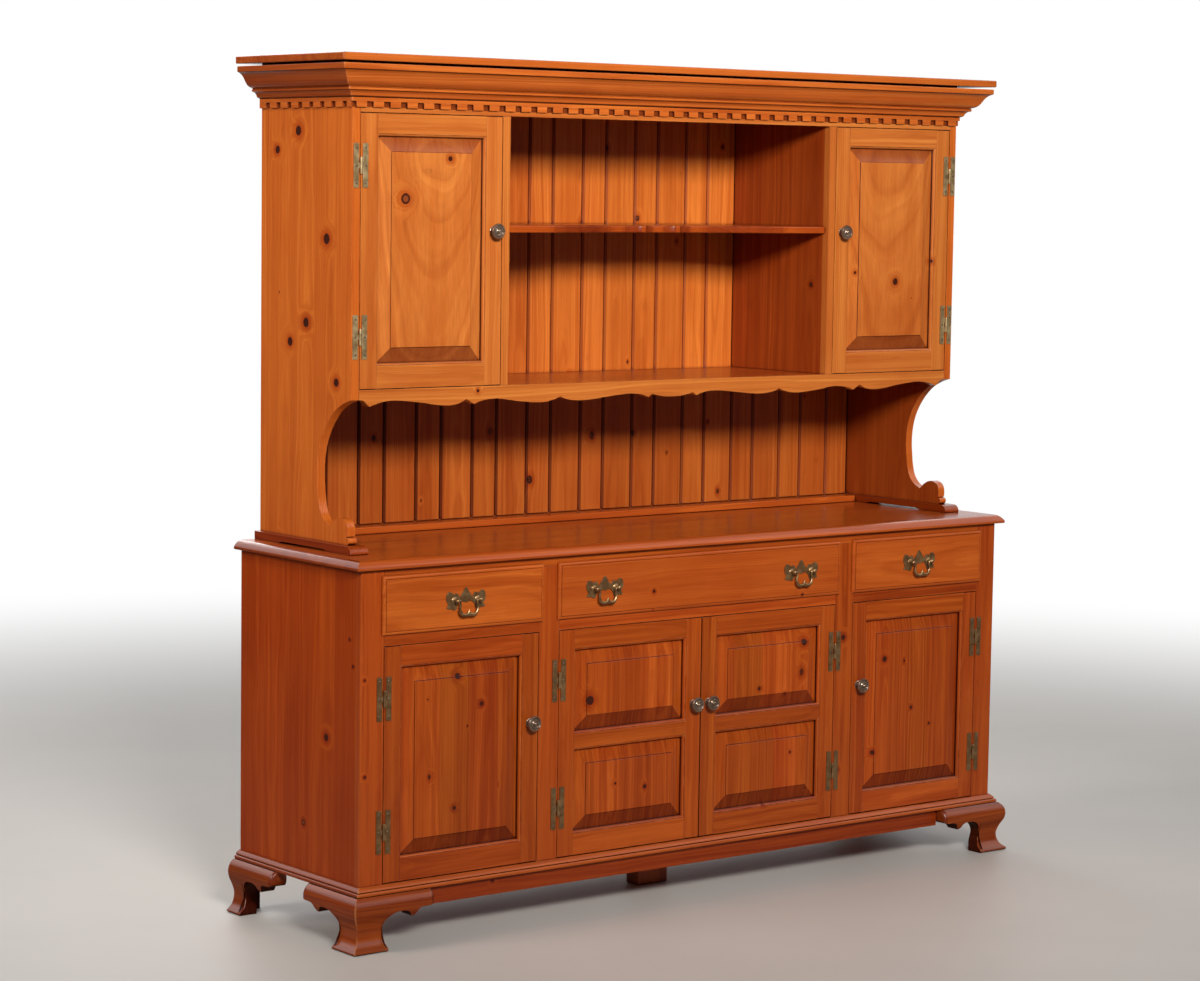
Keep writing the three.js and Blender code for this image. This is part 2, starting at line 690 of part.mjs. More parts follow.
function door(x0, x1, z0, z1, y, middleRail) {
  const left = x0 + doorStileWidth;
  const right = x1 - doorStileWidth;
  const low = z0 + doorBottomRailHeight;
  const high = z1 - doorStileWidth;
  const middle = (low + high) / 2;
  const openings = middleRail
    ? [[low, middle - doorMiddleRailHeight / 2], [middle + doorMiddleRailHeight / 2, high]]
    : [[low, high]];
  let solid = box(x0, x1, y, y + doorThickness, z0, z1);
  for (const [bottom, top] of openings) {
    const over = 2 * stickingWidth;
    solid = solid.subtract(tapered([
      [y - stickingWidth, left - over, right + over, bottom - over, top + over],
      [y + stickingWidth, left, right, bottom, top],
      [y + doorThickness + stickingWidth, left, right, bottom, top],
    ]));
    solid = solid.add(panelSolid(left, right, bottom, top, y));
  }
  return solid;
}

// Knobs: a mushroom with a raised rim and a sunk middle.
const knobSideCount = 18;
const knobShares = [[0.62, 0], [0.6, 0.08], [0.34, 0.18], [0.3, 0.36], [0.85, 0.5], [1, 0.62],
  [0.86, 0.8], [0.7, 0.8], [0.4, 0.94]];
function turnedKnob(x, y, z) {
  const outline = knobShares.map(([radiusShare, lengthShare]) => [
    knobRadius * radiusShare,
    knobLength * lengthShare,
  ]);
  return turned(outline, x, y, z, knobSideCount);
}

function doorSet(name, x0, x1, z0, z1, y, hingeSide, middleRail, knobShare, endShare) {
  const left = x0 + doorGap;
  const right = x1 - doorGap;
  const low = z0 + doorGap;
  const high = z1 - doorGap;
  const edge = hingeSide < 0 ? x0 + doorGap / 2 : x1 - doorGap / 2;
  const knobX = hingeSide < 0 ? right - doorStileWidth / 2 : left + doorStileWidth / 2;
  const heights = [z0 + (z1 - z0) * endShare, z1 - (z1 - z0) * endShare];
  let solid = door(left, right, low, high, y, middleRail);
  for (const z of heights) {
    solid = solid.add(doorLeaf(edge, y, z, -hingeSide));
  }
  add(`${name}_door`, solid, pine);
  add(`${name}_knob`, turnedKnob(knobX, y, z0 + (z1 - z0) * knobShare), brass);
  add(`${name}_lower_hinge`, frameLeaf(edge, y, heights[0], -hingeSide), brass);
  add(`${name}_upper_hinge`, frameLeaf(edge, y, heights[1], -hingeSide), brass);
}

function upperDoor(name, x0, x1, hingeSide) {
  doorSet(name, x0, x1, deckTop, upperOpeningTop, stepBack, hingeSide, false,
    upperKnobHeightShare, upperHingeShare);
}

function baseDoor(name, x0, x1, hingeSide, middleRail) {
  doorSet(name, x0, x1, doorOpeningBottom, doorOpeningTop, 0, hingeSide, middleRail,
    knobHeightShare, hingeShare);
}

upperDoor("upper_left", -upperInnerHalf, -upperDoorInnerEdge, -1);
upperDoor("upper_right", upperDoorInnerEdge, upperInnerHalf, 1);
baseDoor("base_left", -outerBayEdge, -outerBayInnerEdge, -1, false);
baseDoor("centre_left", -centreBayEdge, 0, -1, true);
baseDoor("centre_right", 0, centreBayEdge, 1, true);
baseDoor("base_right", outerBayInnerEdge, outerBayEdge, 1, false);

// Drawers: a lipped front on an open box.
const drawerFrontY = -drawerLipThickness - seatGap;
const lipShares = [[0, 1], [0.25, 0.33], [1, 0]];
function drawer(x0, x1) {
  const z0 = drawerOpeningBottom;
  const z1 = drawerOpeningTop;
  const edge = lipShares.map(([depthShare, insetShare]) => {
    const grow = drawerLip - drawerEdgeRound * insetShare;
    return [drawerFrontY + drawerEdgeRound * depthShare, x0 - grow, x1 + grow, z0 - grow, z1 + grow];
  });
  const face = tapered([...edge, [-seatGap, x0 - drawerLip, x1 + drawerLip, z0 - drawerLip, z1 + drawerLip]]);
  const gap = drawerClearance;
  const boxFront = drawerFrontThickness - drawerLipThickness;
  const rear = backFace - drawerRearGap;
  const high = z1 - drawerBoxDrop;
  const plug = box(x0 + gap, x1 - gap, -2 * seatGap, boxFront, z0 + seatGap, z1 - gap);
  const outer = box(x0 + gap, x1 - gap, boxFront - seatGap, rear, z0 + seatGap, high);
  const inner = box(x0 + gap + drawerSideThickness, x1 - gap - drawerSideThickness, boxFront,
    rear - drawerSideThickness, z0 + gap + drawerBottomRise + drawerBottomThickness, z1 + drawerLip);
  const under = box(x0 + gap + drawerSideThickness, x1 - gap - drawerSideThickness, boxFront,
    rear - drawerSideThickness, z0 - drawerLip, z0 + gap + drawerBottomRise);
  return join([face, plug, outer]).subtract(inner).subtract(under);
}

// Pull: a winged plate with two ball posts, and a bail that hangs from the posts.
const crestShares = [[0, 1], [0.06, 0.89], [0.14, 0.67], [0.235, 0.43], [0.33, 0.17]];
const upperWingShares = [[0.33, 0.17], [0.37, 0.36], [0.43, 0.54], [0.52, 0.55], [0.62, 0.46],
  [0.7, 0.6], [0.8, 0.685], [0.9, 0.65], [0.98, 0.44], [1, 0.18]];
const lowerWingShares = [[1, 0.18], [0.98, -0.04], [0.93, -0.24], [0.885, -0.43], [0.95, -0.62],
  [0.96, -0.78], [0.88, -0.85], [0.76, -0.85], [0.68, -0.94], [0.59, -1], [0.51, -0.93], [0.46, -0.67],
  [0.42, -0.42], [0.33, -0.26], [0.235, -0.1], [0.15, -0.19], [0, -0.27]];
function plateCurve(shares, height, steps) {
  return curvePoints(shares.map(([a, b]) => [(a * pullWidth) / 2, b * height]), steps);
}
const lowerWing = curvePoints(lowerWingShares.map(([a, b]) => [
  (a * pullWidth) / 2,
  b * (b > 0 ? pullCrest : pullDrop),
]), 18);
const plateHalf = [
  ...plateCurve(crestShares, pullCrest, 5),
  ...plateCurve(upperWingShares.slice(0, 5), pullCrest, 7).slice(1),
  ...plateCurve(upperWingShares.slice(4), pullCrest, 7).slice(1),
  ...lowerWing.slice(1),
];
const plateOutline = [
  ...plateHalf.slice(1, -1).reverse(),
  ...plateHalf.map(([u, z]) => [-u, z]),
];
const postHalf = postSpacing / 2;
const pullRise = (drawerOpeningBottom + drawerOpeningTop) / 2;
const pullAxisY = drawerFrontY - pullPlateThickness - postReach;

const ballSideCount = 12;
const stemSideCount = 10;

function pullPlate(x) {
  const plateRear = drawerFrontY;
  const plateFront = drawerFrontY - pullPlateThickness;
  const parts = [alongY(plateOutline.map(([u, z]) => [x + u, pullRise + z]), plateFront, plateRear)];
  for (const side of [-1, 1]) {
    const post = x + side * postHalf;
    const stem = [[postStemRadius, 0], [postStemRadius, postReach]];
    const ball = new THREE.SphereGeometry(postBallRadius, ballSideCount, ballSideCount / 2);
    parts.push(turned(stem, post, plateFront + pullPlateThickness / 2, pullRise, stemSideCount));
    parts.push(solidFrom(ball.rotateX(Math.PI / 2).translate(post, pullAxisY, pullRise)));
  }
  const reach = postHalf + 2 * postBallRadius;
  const hole = rodX(x - reach, x + reach, pullAxisY, pullRise, bailRadius + bailClearance, stemSideCount);
  return join(parts).subtract(hole);
}

const bendShare = 0.3;
const bailSideCount = 8;
const bailShares = [[1.01, 0.3], [1.06, 0.56], [0.96, 0.8], [0.62, 0.95], [0.3, 0.97]];
function bail(x) {
  const tip = postHalf + postBallRadius / 2;
  const arm = postHalf - postBallRadius - bailEndGap - bailRadius;
  const half = [
    [tip, 0],
    [arm + bailRadius, 0],
    [arm + bailRadius * bendShare, -bailRadius * bendShare],
    [arm, -bailRadius],
    ...bailShares.map(([widthShare, dropShare]) => [arm * widthShare, -bailDrop * dropShare]),
  ];
  const path = [...half, [0, -bailDrop], ...half.slice().reverse().map(([u, z]) => [-u, z])];
  const rings = path.map((point, i) => {
    const before = path[Math.max(i - 1, 0)];
    const after = path[Math.min(i + 1, path.length - 1)];
    const length = Math.hypot(after[0] - before[0], after[1] - before[1]);
    const along = [(after[0] - before[0]) / length, (after[1] - before[1]) / length];
    const ring = [];
    for (let k = 0; k < bailSideCount; k += 1) {
      const angle = (-2 * Math.PI * k) / bailSideCount;
      const across = bailRadius * Math.cos(angle);
      ring.push([
        x + point[0] - along[1] * across,
        pullAxisY + bailRadius * Math.sin(angle),
        pullRise + point[1] + along[0] * across,
      ]);
    }
    return ring;
  });
  return solidOf(rings);
}

function pullSet(name, x) {
  add(`${name}_pull_plate`, pullPlate(x), brass);
  add(`${name}_bail`, bail(x), brass);
}

add("left_drawer", drawer(-outerBayEdge, -outerBayInnerEdge), pine);
add("centre_drawer", drawer(-centreBayEdge, centreBayEdge), pine);
add("right_drawer", drawer(outerBayInnerEdge, outerBayEdge), pine);
const outerPullX = outerBayInnerEdge + bayWidth * outerPullShare;
const centrePullX = 2 * centreBayEdge * centrePullShare;
pullSet("left_drawer", -outerPullX);
pullSet("centre_drawer_left", -centrePullX);
pullSet("centre_drawer_right", centrePullX);
pullSet("right_drawer", outerPullX);

// Put the origin under the middle of the whole object and hand the pieces over.
const whole = new THREE.Box3();
for (const { solid } of pieces) {
  const bounds = solid.boundingBox();
  whole.expandByPoint(new THREE.Vector3(...bounds.min));
  whole.expandByPoint(new THREE.Vector3(...bounds.max));
}
const middle = whole.getCenter(new THREE.Vector3());
const shift = [-middle.x, -middle.y, -whole.min.z];

const group = new THREE.Group();
group.name = "step_back_cupboard";
for (const { name, solid, material } of pieces) {
  const mesh = solid.translate(shift).getMesh();
  const geometry = new THREE.BufferGeometry();
  geometry.setAttribute("position", new THREE.BufferAttribute(new Float32Array(mesh.vertProperties), 3));
  geometry.setIndex(new THREE.BufferAttribute(new Uint32Array(mesh.triVerts), 1));
  geometry.computeVertexNormals();
  const object = new THREE.Mesh(geometry, material);
  object.name = name;
  group.add(object);
}

export default group;
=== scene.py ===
import bpy
import bmesh
import math
import random
from mathutils import Matrix, Vector


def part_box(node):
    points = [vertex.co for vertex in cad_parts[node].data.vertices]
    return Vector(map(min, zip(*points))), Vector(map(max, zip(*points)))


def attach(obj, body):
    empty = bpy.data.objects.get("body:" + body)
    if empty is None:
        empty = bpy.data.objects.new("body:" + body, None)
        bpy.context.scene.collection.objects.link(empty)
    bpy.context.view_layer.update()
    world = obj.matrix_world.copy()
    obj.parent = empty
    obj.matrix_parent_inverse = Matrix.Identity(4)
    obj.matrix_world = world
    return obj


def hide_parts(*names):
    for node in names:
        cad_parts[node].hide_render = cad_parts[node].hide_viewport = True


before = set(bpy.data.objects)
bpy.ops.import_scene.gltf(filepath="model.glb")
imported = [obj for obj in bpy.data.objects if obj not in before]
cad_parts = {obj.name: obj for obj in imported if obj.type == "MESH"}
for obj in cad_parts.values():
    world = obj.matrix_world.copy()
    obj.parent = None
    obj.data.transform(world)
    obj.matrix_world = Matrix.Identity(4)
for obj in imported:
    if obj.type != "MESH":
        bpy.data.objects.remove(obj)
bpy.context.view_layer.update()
scene = bpy.context.scene
chance = random.Random(11)
thousand = 1000  # the pieces are drawn in millimetres

view = {"place": (-4.5198, -5.5885, 1.5842), "yaw": 38.1803, "pitch": -5.4487, "roll": 0.8078,
        "focalPixels": 3165.92, "imageWidth": 1200, "sensor": 36, "farEnd": 60}


def makeCamera():
    yaw, pitch, roll = (math.radians(view[key]) for key in ("yaw", "pitch", "roll"))
    ahead = Vector((math.sin(yaw) * math.cos(pitch), math.cos(yaw) * math.cos(pitch), math.sin(pitch)))
    level = Vector((math.cos(yaw), -math.sin(yaw), 0))
    above = level.cross(ahead)
    right = level * math.cos(roll) + above * math.sin(roll)
    up = above * math.cos(roll) - level * math.sin(roll)
    data = bpy.data.cameras.new("camera")
    data.sensor_width = view["sensor"]
    data.lens = view["focalPixels"] * view["sensor"] / view["imageWidth"]
    data.clip_end = view["farEnd"]
    camera = bpy.data.objects.new("camera", data)
    camera.matrix_world = Matrix((
        (right.x, up.x, -ahead.x, view["place"][0]),
        (right.y, up.y, -ahead.y, view["place"][1]),
        (right.z, up.z, -ahead.z, view["place"][2]),
        (0, 0, 0, 1)))
    scene.collection.objects.link(camera)
    scene.camera = camera


makeCamera()
print("camera placed")


# Shader helpers

def setInputs(tree, node, inputs):
    for key, value in inputs.items():
        if isinstance(value, bpy.types.NodeSocket):
            tree.links.new(value, node.inputs[key])
        else:
            node.inputs[key].default_value = value


def addNode(tree, kind, inputs, **settings):
    made = tree.nodes.new("ShaderNode" + kind)
    for key, value in settings.items():
        setattr(made, key, value)
    setInputs(tree, made, inputs)
    return made.outputs


def calc(tree, operation, *terms):
    return addNode(tree, "Math", dict(enumerate(terms)), operation=operation)[0]


def sumsFor(tree, *operations):
    return [lambda *terms, kind=kind: calc(tree, kind, *terms) for kind in operations]


def vector(tree, x, y, z):
    return addNode(tree, "CombineXYZ", {0: x, 1: y, 2: z})[0]


def blendColor(tree, factor, first, second, mode="MIX"):
    return addNode(tree, "Mix", {0: factor, 6: first, 7: second}, data_type="RGBA", blend_type=mode)[2]


def tinted(tree, color, share, tint):
    return blendColor(tree, share, color, blendColor(tree, 1.0, color, tint, "MULTIPLY"))


def softStep(tree, value, start, end, low=0.0, high=1.0, kind="SMOOTHSTEP"):
    ends = {0: value, 1: start, 2: end, 3: low, 4: high}
    return addNode(tree, "MapRange", ends, interpolation_type=kind)[0]


def ranged(tree, value, low, high, start=0.0, end=1.0):
    return softStep(tree, value, start, end, low, high, "LINEAR")


def noise(tree, place, scale, detail=3.0, roughness=0.5):
    return addNode(tree, "TexNoise", {"Vector": place, "Scale": scale, "Detail": detail,
                                      "Roughness": roughness})["Fac"]


def openness(tree, reach, samples, inside=False):
    return addNode(tree, "AmbientOcclusion", {"Distance": reach}, samples=samples, inside=inside)["AO"]


def newGroup(name, wanted, given):
    tree = bpy.data.node_groups.new(name, "ShaderNodeTree")
    for way, sockets in (("INPUT", wanted), ("OUTPUT", given)):
        for label, kind in sockets.items():
            tree.interface.new_socket(name=label, in_out=way, socket_type="NodeSocket" + kind)
    return tree, tree.nodes.new("NodeGroupInput").outputs, tree.nodes.new("NodeGroupOutput")


def newMaterial(name, shader):
    material = bpy.data.materials.new(name)
    material.use_nodes = True
    tree = material.node_tree
    bsdf = tree.nodes["Principled BSDF"]
    setInputs(tree, bsdf, shader)
    return material, tree, bsdf


woodGrain = {
    "stripWidth": 0.09,  # metres of board for one unit of the grain's second number
    "toneSeed": 37.0, "startSeed": 40.0, "knotSeed": 3.7, "bandSeed": 17.0,
    "pithSpread": 0.06, "pithDepth": (0.03, 0.12), "pithLean": 0.020, "pithDrift": 0.05, "pithWaver": 0.006,
    "ringSpacing": 0.0046, "ringShift": 2.0, "bandScale": 80.0, "bandDetail": 5.0, "bandRoughness": 0.68,
    "latePower": 3.0, "lateEnd": (1.0, 0.86), "earlyStart": (0.0, 0.10), "earlyEnd": (0.34, 0.14),
    "earlyBands": (0.62, 0.40), "bandStep": (0.32, 0.68), "bandShade": 0.7, "streakStep": (0.3, 0.7),
    "streakShade": 0.5, "blotchStep": (0.42, 0.75), "fibreLift": (0.88, 1.10, 0.3, 0.7), "hueShift": 0.022,
    "roughness": 0.16, "roughBands": 0.08, "roughBlotch": 0.08, "fibreHeight": 0.4, "lateHeight": 0.5,
}
# Scales along and across the board and for a third number, then detail and roughness
grainNoises = {
    "ragged": ((260.0, 260.0, 0.0), 3.0, 0.5), "drift": ((1.1, 5.3, 0.0), 2.0, 0.5),
    "waver": ((5.0, 16.0, 9.1), 2.0, 0.5), "fibre": ((9.0, 700.0, 700.0), 3.0, 0.6),
    "streak": ((2.2, 120.0, 2.3), 3.0, 0.5), "blotch": ((4.0, 12.0, 2.3), 3.0, 0.5),
}
# Lengths in metres; the pairs of a step are in radii of the knot
woodKnots = {
    "cell": 0.13, "long": 1.3, "scatter": 0.8, "radius": (0.0026, 0.0095), "smallShare": 1.4, "absent": 50.0,
    "ragged": (0.4, 0.8), "reach": 4.5, "push": 0.0221, "streak": (5.5, 1.5), "streakStep": (0.46, 0.62),
    "halo": (3.0, 0.9), "core": (1.10, 0.88), "heart": (0.74, 0.45), "heartRadius": (0.008, 0.010),
    "setReach": 2.0, "color": (0.042, 0.009, 0.004, 1), "heartColor": (0.20, 0.045, 0.012, 1),
}
# End grain and old stain darken faces by the per-face attribute, which also carries painted shade in quirks,
# gaps and faces turned from the light
woodTints = {
    "late": (0.70, (0.72, 0.56, 0.46, 1)), "early": (0.5, (1.16, 1.34, 1.4, 1)),
    "blotch": (0.85, (0.86, 0.74, 0.66, 1)), "streak": (0.55, (1.25, 1.42, 1.30, 1)),
    "halo": (0.85, (0.70, 0.42, 0.28, 1)), "endGrainAndShade": (1.0, (0.64, 0.52, 0.54, 1)),
    "oldStainAndShade": (1.0, (0.16, 0.11, 0.12, 1)),
}


def makeGrainGroup():
    w, k = woodGrain, woodKnots
    tree, given, out = newGroup(
        "pineGrain",
        {"Grain": "Vector", "Tone": "Float", "End Grain And Shade": "Float", "Light": "Color", "Dark": "Color",
         "Knots": "Float", "Knot Size": "Float", "Strips": "Float", "Set Knot": "Float",
         "Set Heart": "Float"},
        {"Color": "Color", "Roughness": "Float", "Height": "Float"})
    add, minus, times, over, power, timesAdd = sumsFor(tree, "ADD", "SUBTRACT", "MULTIPLY", "DIVIDE", "POWER",
                                                       "MULTIPLY_ADD")
    most, least, above = sumsFor(tree, "MAXIMUM", "MINIMUM", "GREATER_THAN")

    def step(value, ends):
        return softStep(tree, value, *ends)

    def stretched(key, *places):
        scales, detail, roughness = grainNoises[key]
        spot = vector(tree, *(times(place, scale) for place, scale in zip(places, scales)))
        return noise(tree, spot, 1.0, detail, roughness)

    def dyed(color, key, share):
        strength, tint = woodTints[key]
        return tinted(tree, color, times(share, strength), tint)

    along, strips, depth = addNode(tree, "SeparateXYZ", {0: given["Grain"]})
    number = calc(tree, "FLOOR", strips)
    local = times(minus(minus(strips, number), 0.5), w["stripWidth"])
    seed = vector(tree, number, times(given["Tone"], w["toneSeed"]), 0.0)
    dice = addNode(tree, "TexWhiteNoise", {"Vector": seed})["Color"]
    first, second, third = addNode(tree, "SeparateColor", {0: dice})
    alongHere = add(along, times(third, w["startSeed"]))

    # Knots: one may sit in each cell of the board.
    cell = vector(tree, over(alongHere, k["long"] * k["cell"]),
                  over(add(local, times(number, w["knotSeed"])), k["cell"]), 0.0)
    cells = addNode(tree, "TexVoronoi", {"Vector": cell, "Scale": 1.0, "Randomness": k["scatter"]},
                    voronoi_dimensions="2D", feature="F1")
    cellDice = addNode(tree, "SeparateColor", {0: cells["Color"]})
    radius = times(ranged(tree, power(cellDice[1], k["smallShare"]), *k["radius"]), given["Knot Size"])
    absent = times(above(cellDice[0], given["Knots"]), k["absent"])
    ragged = stretched("ragged", along, local, 0.0)
    knotPart = over(times(cells["Distance"], k["cell"]), radius)
    knotPart = least(add(knotPart, absent), given["Set Knot"])
    knotPart = over(knotPart, timesAdd(ragged, *k["ragged"]))
    swell = power(most(minus(1.0, over(knotPart, k["reach"])), 0.0), 2.0)

    # Growth rings around a pith that runs below the board at a slight lean
    drift = stretched("drift", alongHere, number, 0.0)
    waver = stretched("waver", alongHere, local, number)
    across = add(local, times(minus(first, 0.5), w["pithSpread"]))
    across = timesAdd(minus(drift, 0.5), w["pithDrift"], across)
    sink = ranged(tree, second, *w["pithDepth"])
    lean = times(minus(third, 0.5), times(along, w["pithLean"]))
    below = timesAdd(minus(waver, 0.5), w["pithWaver"], add(add(sink, depth), lean))
    span = calc(tree, "SQRT", add(power(across, 2.0), power(below, 2.0)))
    span = add(span, times(swell, k["push"]))
    bandPlace = add(times(span, w["bandScale"]), times(number, w["bandSeed"]))
    bands = addNode(tree, "TexNoise", {"W": bandPlace, "Scale": 1.0, "Detail": w["bandDetail"],
                                       "Roughness": w["bandRoughness"]}, noise_dimensions="1D")["Fac"]
    ring = calc(tree, "FRACT", add(over(span, w["ringSpacing"]), times(bands, w["ringShift"])))
    late = times(power(ring, w["latePower"]), step(ring, w["lateEnd"]))
    fibre = stretched("fibre", alongHere, local, depth)
    streak = stretched("streak", alongHere, local, number)
    blotch = stretched("blotch", alongHere, local, number)

    shade = add(times(step(bands, w["bandStep"]), w["bandShade"]),
                times(step(streak, w["streakStep"]), w["streakShade"]))
    color = blendColor(tree, shade, given["Light"], given["Dark"])
    color = dyed(color, "late", late)
    early = times(times(step(ring, w["earlyEnd"]), step(ring, w["earlyStart"])), step(bands, w["earlyBands"]))
    color = dyed(color, "early", early)
    color = dyed(color, "blotch", step(blotch, w["blotchStep"]))
    lift = times(timesAdd(minus(second, 0.5), given["Strips"], 1.0), ranged(tree, fibre, *w["fibreLift"]))
    turn = timesAdd(minus(first, 0.5), times(given["Strips"], w["hueShift"]), 0.5)
    color = addNode(tree, "HueSaturation", {"Hue": turn, "Saturation": 1.0, "Value": lift, "Color": color})[0]

    # Each knot has a redder halo with lighter streaks through it; only a big one has a lighter heart.
    color = dyed(color, "streak", times(step(knotPart, k["streak"]), step(streak, k["streakStep"])))
    color = dyed(color, "halo", step(knotPart, k["halo"]))
    core = step(knotPart, k["core"])
    big = step(times(radius, above(given["Set Knot"], k["setReach"])), k["heartRadius"])
    heart = times(step(knotPart, k["heart"]), most(big, given["Set Heart"]))
    color = blendColor(tree, core, color, blendColor(tree, heart, k["color"], k["heartColor"]))
    # End grain, old stain and painted shade, from the per-face attribute
    color = dyed(color, "endGrainAndShade", least(given["End Grain And Shade"], 1.0))
    color = dyed(color, "oldStainAndShade", minus(most(given["End Grain And Shade"], 1.0), 1.0))
    roughness = timesAdd(blotch, w["roughBlotch"], timesAdd(bands, w["roughBands"], w["roughness"]))
    height = minus(times(fibre, w["fibreHeight"]), times(late, w["lateHeight"]))
    setInputs(tree, out, {"Color": color, "Roughness": roughness, "Height": minus(height, core)})
    return tree


glazeAndShadeLook = {"near": (0.78, 0.30), "nearTint": (0.36, 0.18, 0.13, 1), "deep": (0.40, 0.16),
             "deepTint": (0.22, 0.14, 0.14, 1), "rimReach": 0.0035, "rim": (0.62, 0.35), "patchScale": 45.0,
             "patch": (0.36, 0.62), "paler": (1.5, 1.5, 1.5, 1), "bare": (0.62, 0.30, 0.12, 1),
             "bareAndHighlitShare": 0.5}


def makeGlazeAndShadeGroup():
    # Darkening in the inner corners, partly dark glaze and partly painted shade, and pale edges that are
    # partly wear and partly painted highlight
    g = glazeAndShadeLook
    tree, given, out = newGroup("cornerGlazeAndShade", {"Color": "Color", "Reach": "Float", "Strength": "Float",
                                                "Wear": "Float"}, {"Color": "Color"})
    times, = sumsFor(tree, "MULTIPLY")
    where = addNode(tree, "TexCoord", {})["Object"]
    corner = openness(tree, given["Reach"], 8)
    rim = openness(tree, g["rimReach"], 6, True)
    color = given["Color"]
    # Painted shade: the colour darkens where inner corners are closed in, on top of a dark glaze
    for step, tint in (("near", "nearTint"), ("deep", "deepTint")):
        share = times(softStep(tree, corner, *g[step]), given["Strength"])
        color = tinted(tree, color, share, g[tint])
    # Outer rims turn pale in patches: partly wear, partly painted highlight
    patch = noise(tree, where, g["patchScale"])
    wornAndHighlit = times(softStep(tree, rim, *g["rim"]), softStep(tree, patch, *g["patch"]))
    paler = blendColor(tree, 1.0, given["Color"], g["paler"], "MULTIPLY")
    bare = blendColor(tree, g["bareAndHighlitShare"], paler, g["bare"])
    color = blendColor(tree, times(wornAndHighlit, given["Wear"]), color, bare)
    setInputs(tree, out, {"Color": color})
    return tree


def pineTone(light, dark, knots, knotSize, strips, gloss=0.28):
    return {"Light": (*light, 1), "Dark": (*dark, 1), "Knots": knots, "Knot Size": knotSize,
            "Strips": strips}, gloss


# Light and dark wood, the share of cells with a knot, the knots' size and how much glued strips differ. The
# crown, base and baseSide tones are darker and redder partly as painted shade, baseSide also as painted warm
# bounce light, and the tone for the back boards below the deck is their wood darkened as painted shade.
pineTones = {
    "upper": pineTone((0.555, 0.176, 0.034), (0.44, 0.112, 0.018), 0.10, 0.7, 0.08),
    "crown": pineTone((0.56, 0.140, 0.021), (0.42, 0.085, 0.011), 0.06, 0.5, 0.06),
    "side": pineTone((0.60, 0.148, 0.020), (0.48, 0.100, 0.012), 0.05, 0.7, 0.06),
    "back": pineTone((0.62, 0.178, 0.028), (0.45, 0.102, 0.014), 0.34, 0.9, 0.10),
    "recessShade": pineTone((0.44, 0.112, 0.017), (0.33, 0.066, 0.009), 0.34, 0.9, 0.10),
    "base": pineTone((0.42, 0.082, 0.009), (0.27, 0.040, 0.004), 0.12, 0.7, 0.24),
    "baseSide": pineTone((0.41, 0.062, 0.006), (0.29, 0.036, 0.003), 0.05, 0.6, 0.16, 0.14),
    "drawer": pineTone((0.45, 0.093, 0.012), (0.335, 0.058, 0.007), 0.06, 0.6, 0.14),
    "inside": pineTone((0.36, 0.062, 0.008), (0.24, 0.035, 0.005), 0.20, 0.8, 0.12),
    "foot": pineTone((0.31, 0.058, 0.008), (0.18, 0.026, 0.004), 0.05, 0.6, 0.10),
    "raw": pineTone((0.74, 0.42, 0.17), (0.58, 0.27, 0.09), 0.30, 1.0, 0.20),
}
# Sets the glaze and painted shade in inner corners and the wear and painted highlight on edges
pineFinish = {"glazeAndShadeReach": 0.011, "glaze": 0.9, "wear": 0.6, "wearAndHighlightEnds": (1.6, 1.1), "bump": 0.00020,
              "bumpStrength": 0.6, "noKnot": 99.0}

# Knots that the photograph shows: the axis and the place of their face, then the other two places and the
# radius of each, in metres
setKnots = {
    "upper": (1, -0.0985, [
        (-0.7314, 1.5572, 0.0115), (-0.6175, 1.6422, 0.0055), (0.6795, 1.3738, 0.0080),
        (0.7949, 1.4220, 0.0065), (0.5520, 1.3958, 0.0050), (0.7328, 1.3346, 0.0015),
        (-0.5408, 1.1491, 0.0040)]),
    "side": (0, -0.867, [
        (0.1050, 1.6971, 0.0105), (0.1864, 1.6572, 0.0085), (-0.0056, 1.4713, 0.0114),
        (0.0720, 1.2932, 0.0105), (0.1339, 1.2500, 0.0095), (-0.0453, 1.1719, 0.0090),
        (0.1776, 1.3538, 0.0018)]),
    "base": (1, -0.2145, [
        (-0.6679, 0.5574, 0.0070), (-0.6056, 0.4930, 0.0050), (-0.6743, 0.2759, 0.0045),
        (-0.7447, 0.5140, 0.0020), (-0.3137, 0.4733, 0.0105), (-0.1564, 0.2672, 0.0048),
        (-0.2398, 0.2826, 0.0030), (0.3095, 0.5535, 0.0080), (0.1748, 0.4572, 0.0045),
        (0.2544, 0.4366, 0.0030), (0.2714, 0.3013, 0.0028), (0.1917, 0.1922, 0.0050),
        (0.5633, 0.4935, 0.0068), (0.6523, 0.3709, 0.0040), (0.7121, 0.3274, 0.0032),
        (0.5315, 0.2737, 0.0059), (0.4285, 0.5553, 0.0065),
        (-0.9051, 0.5679, 0.0030), (-0.9034, 0.3653, 0.0038)]),
    "baseSide": (0, -0.915, [
        (-0.0884, 0.4315, 0.0080), (-0.1738, 0.6486, 0.0030), (-0.1875, 0.5937, 0.0035),
        (-0.2091, 0.2763, 0.0040), (-0.0028, 0.2366, 0.0060)]),
    "drawer": (1, -0.2245, [(-0.1462, 0.7033, 0.0040), (-0.1476, 0.6605, 0.0020), (0.2917, 0.6656, 0.0030)]),
    "inside": (0, 0.461, [(-0.0436, 1.3668, 0.0065)]),
}
lightHearts = (0.0115, 0.0060)  # knots of these sizes have a lighter heart


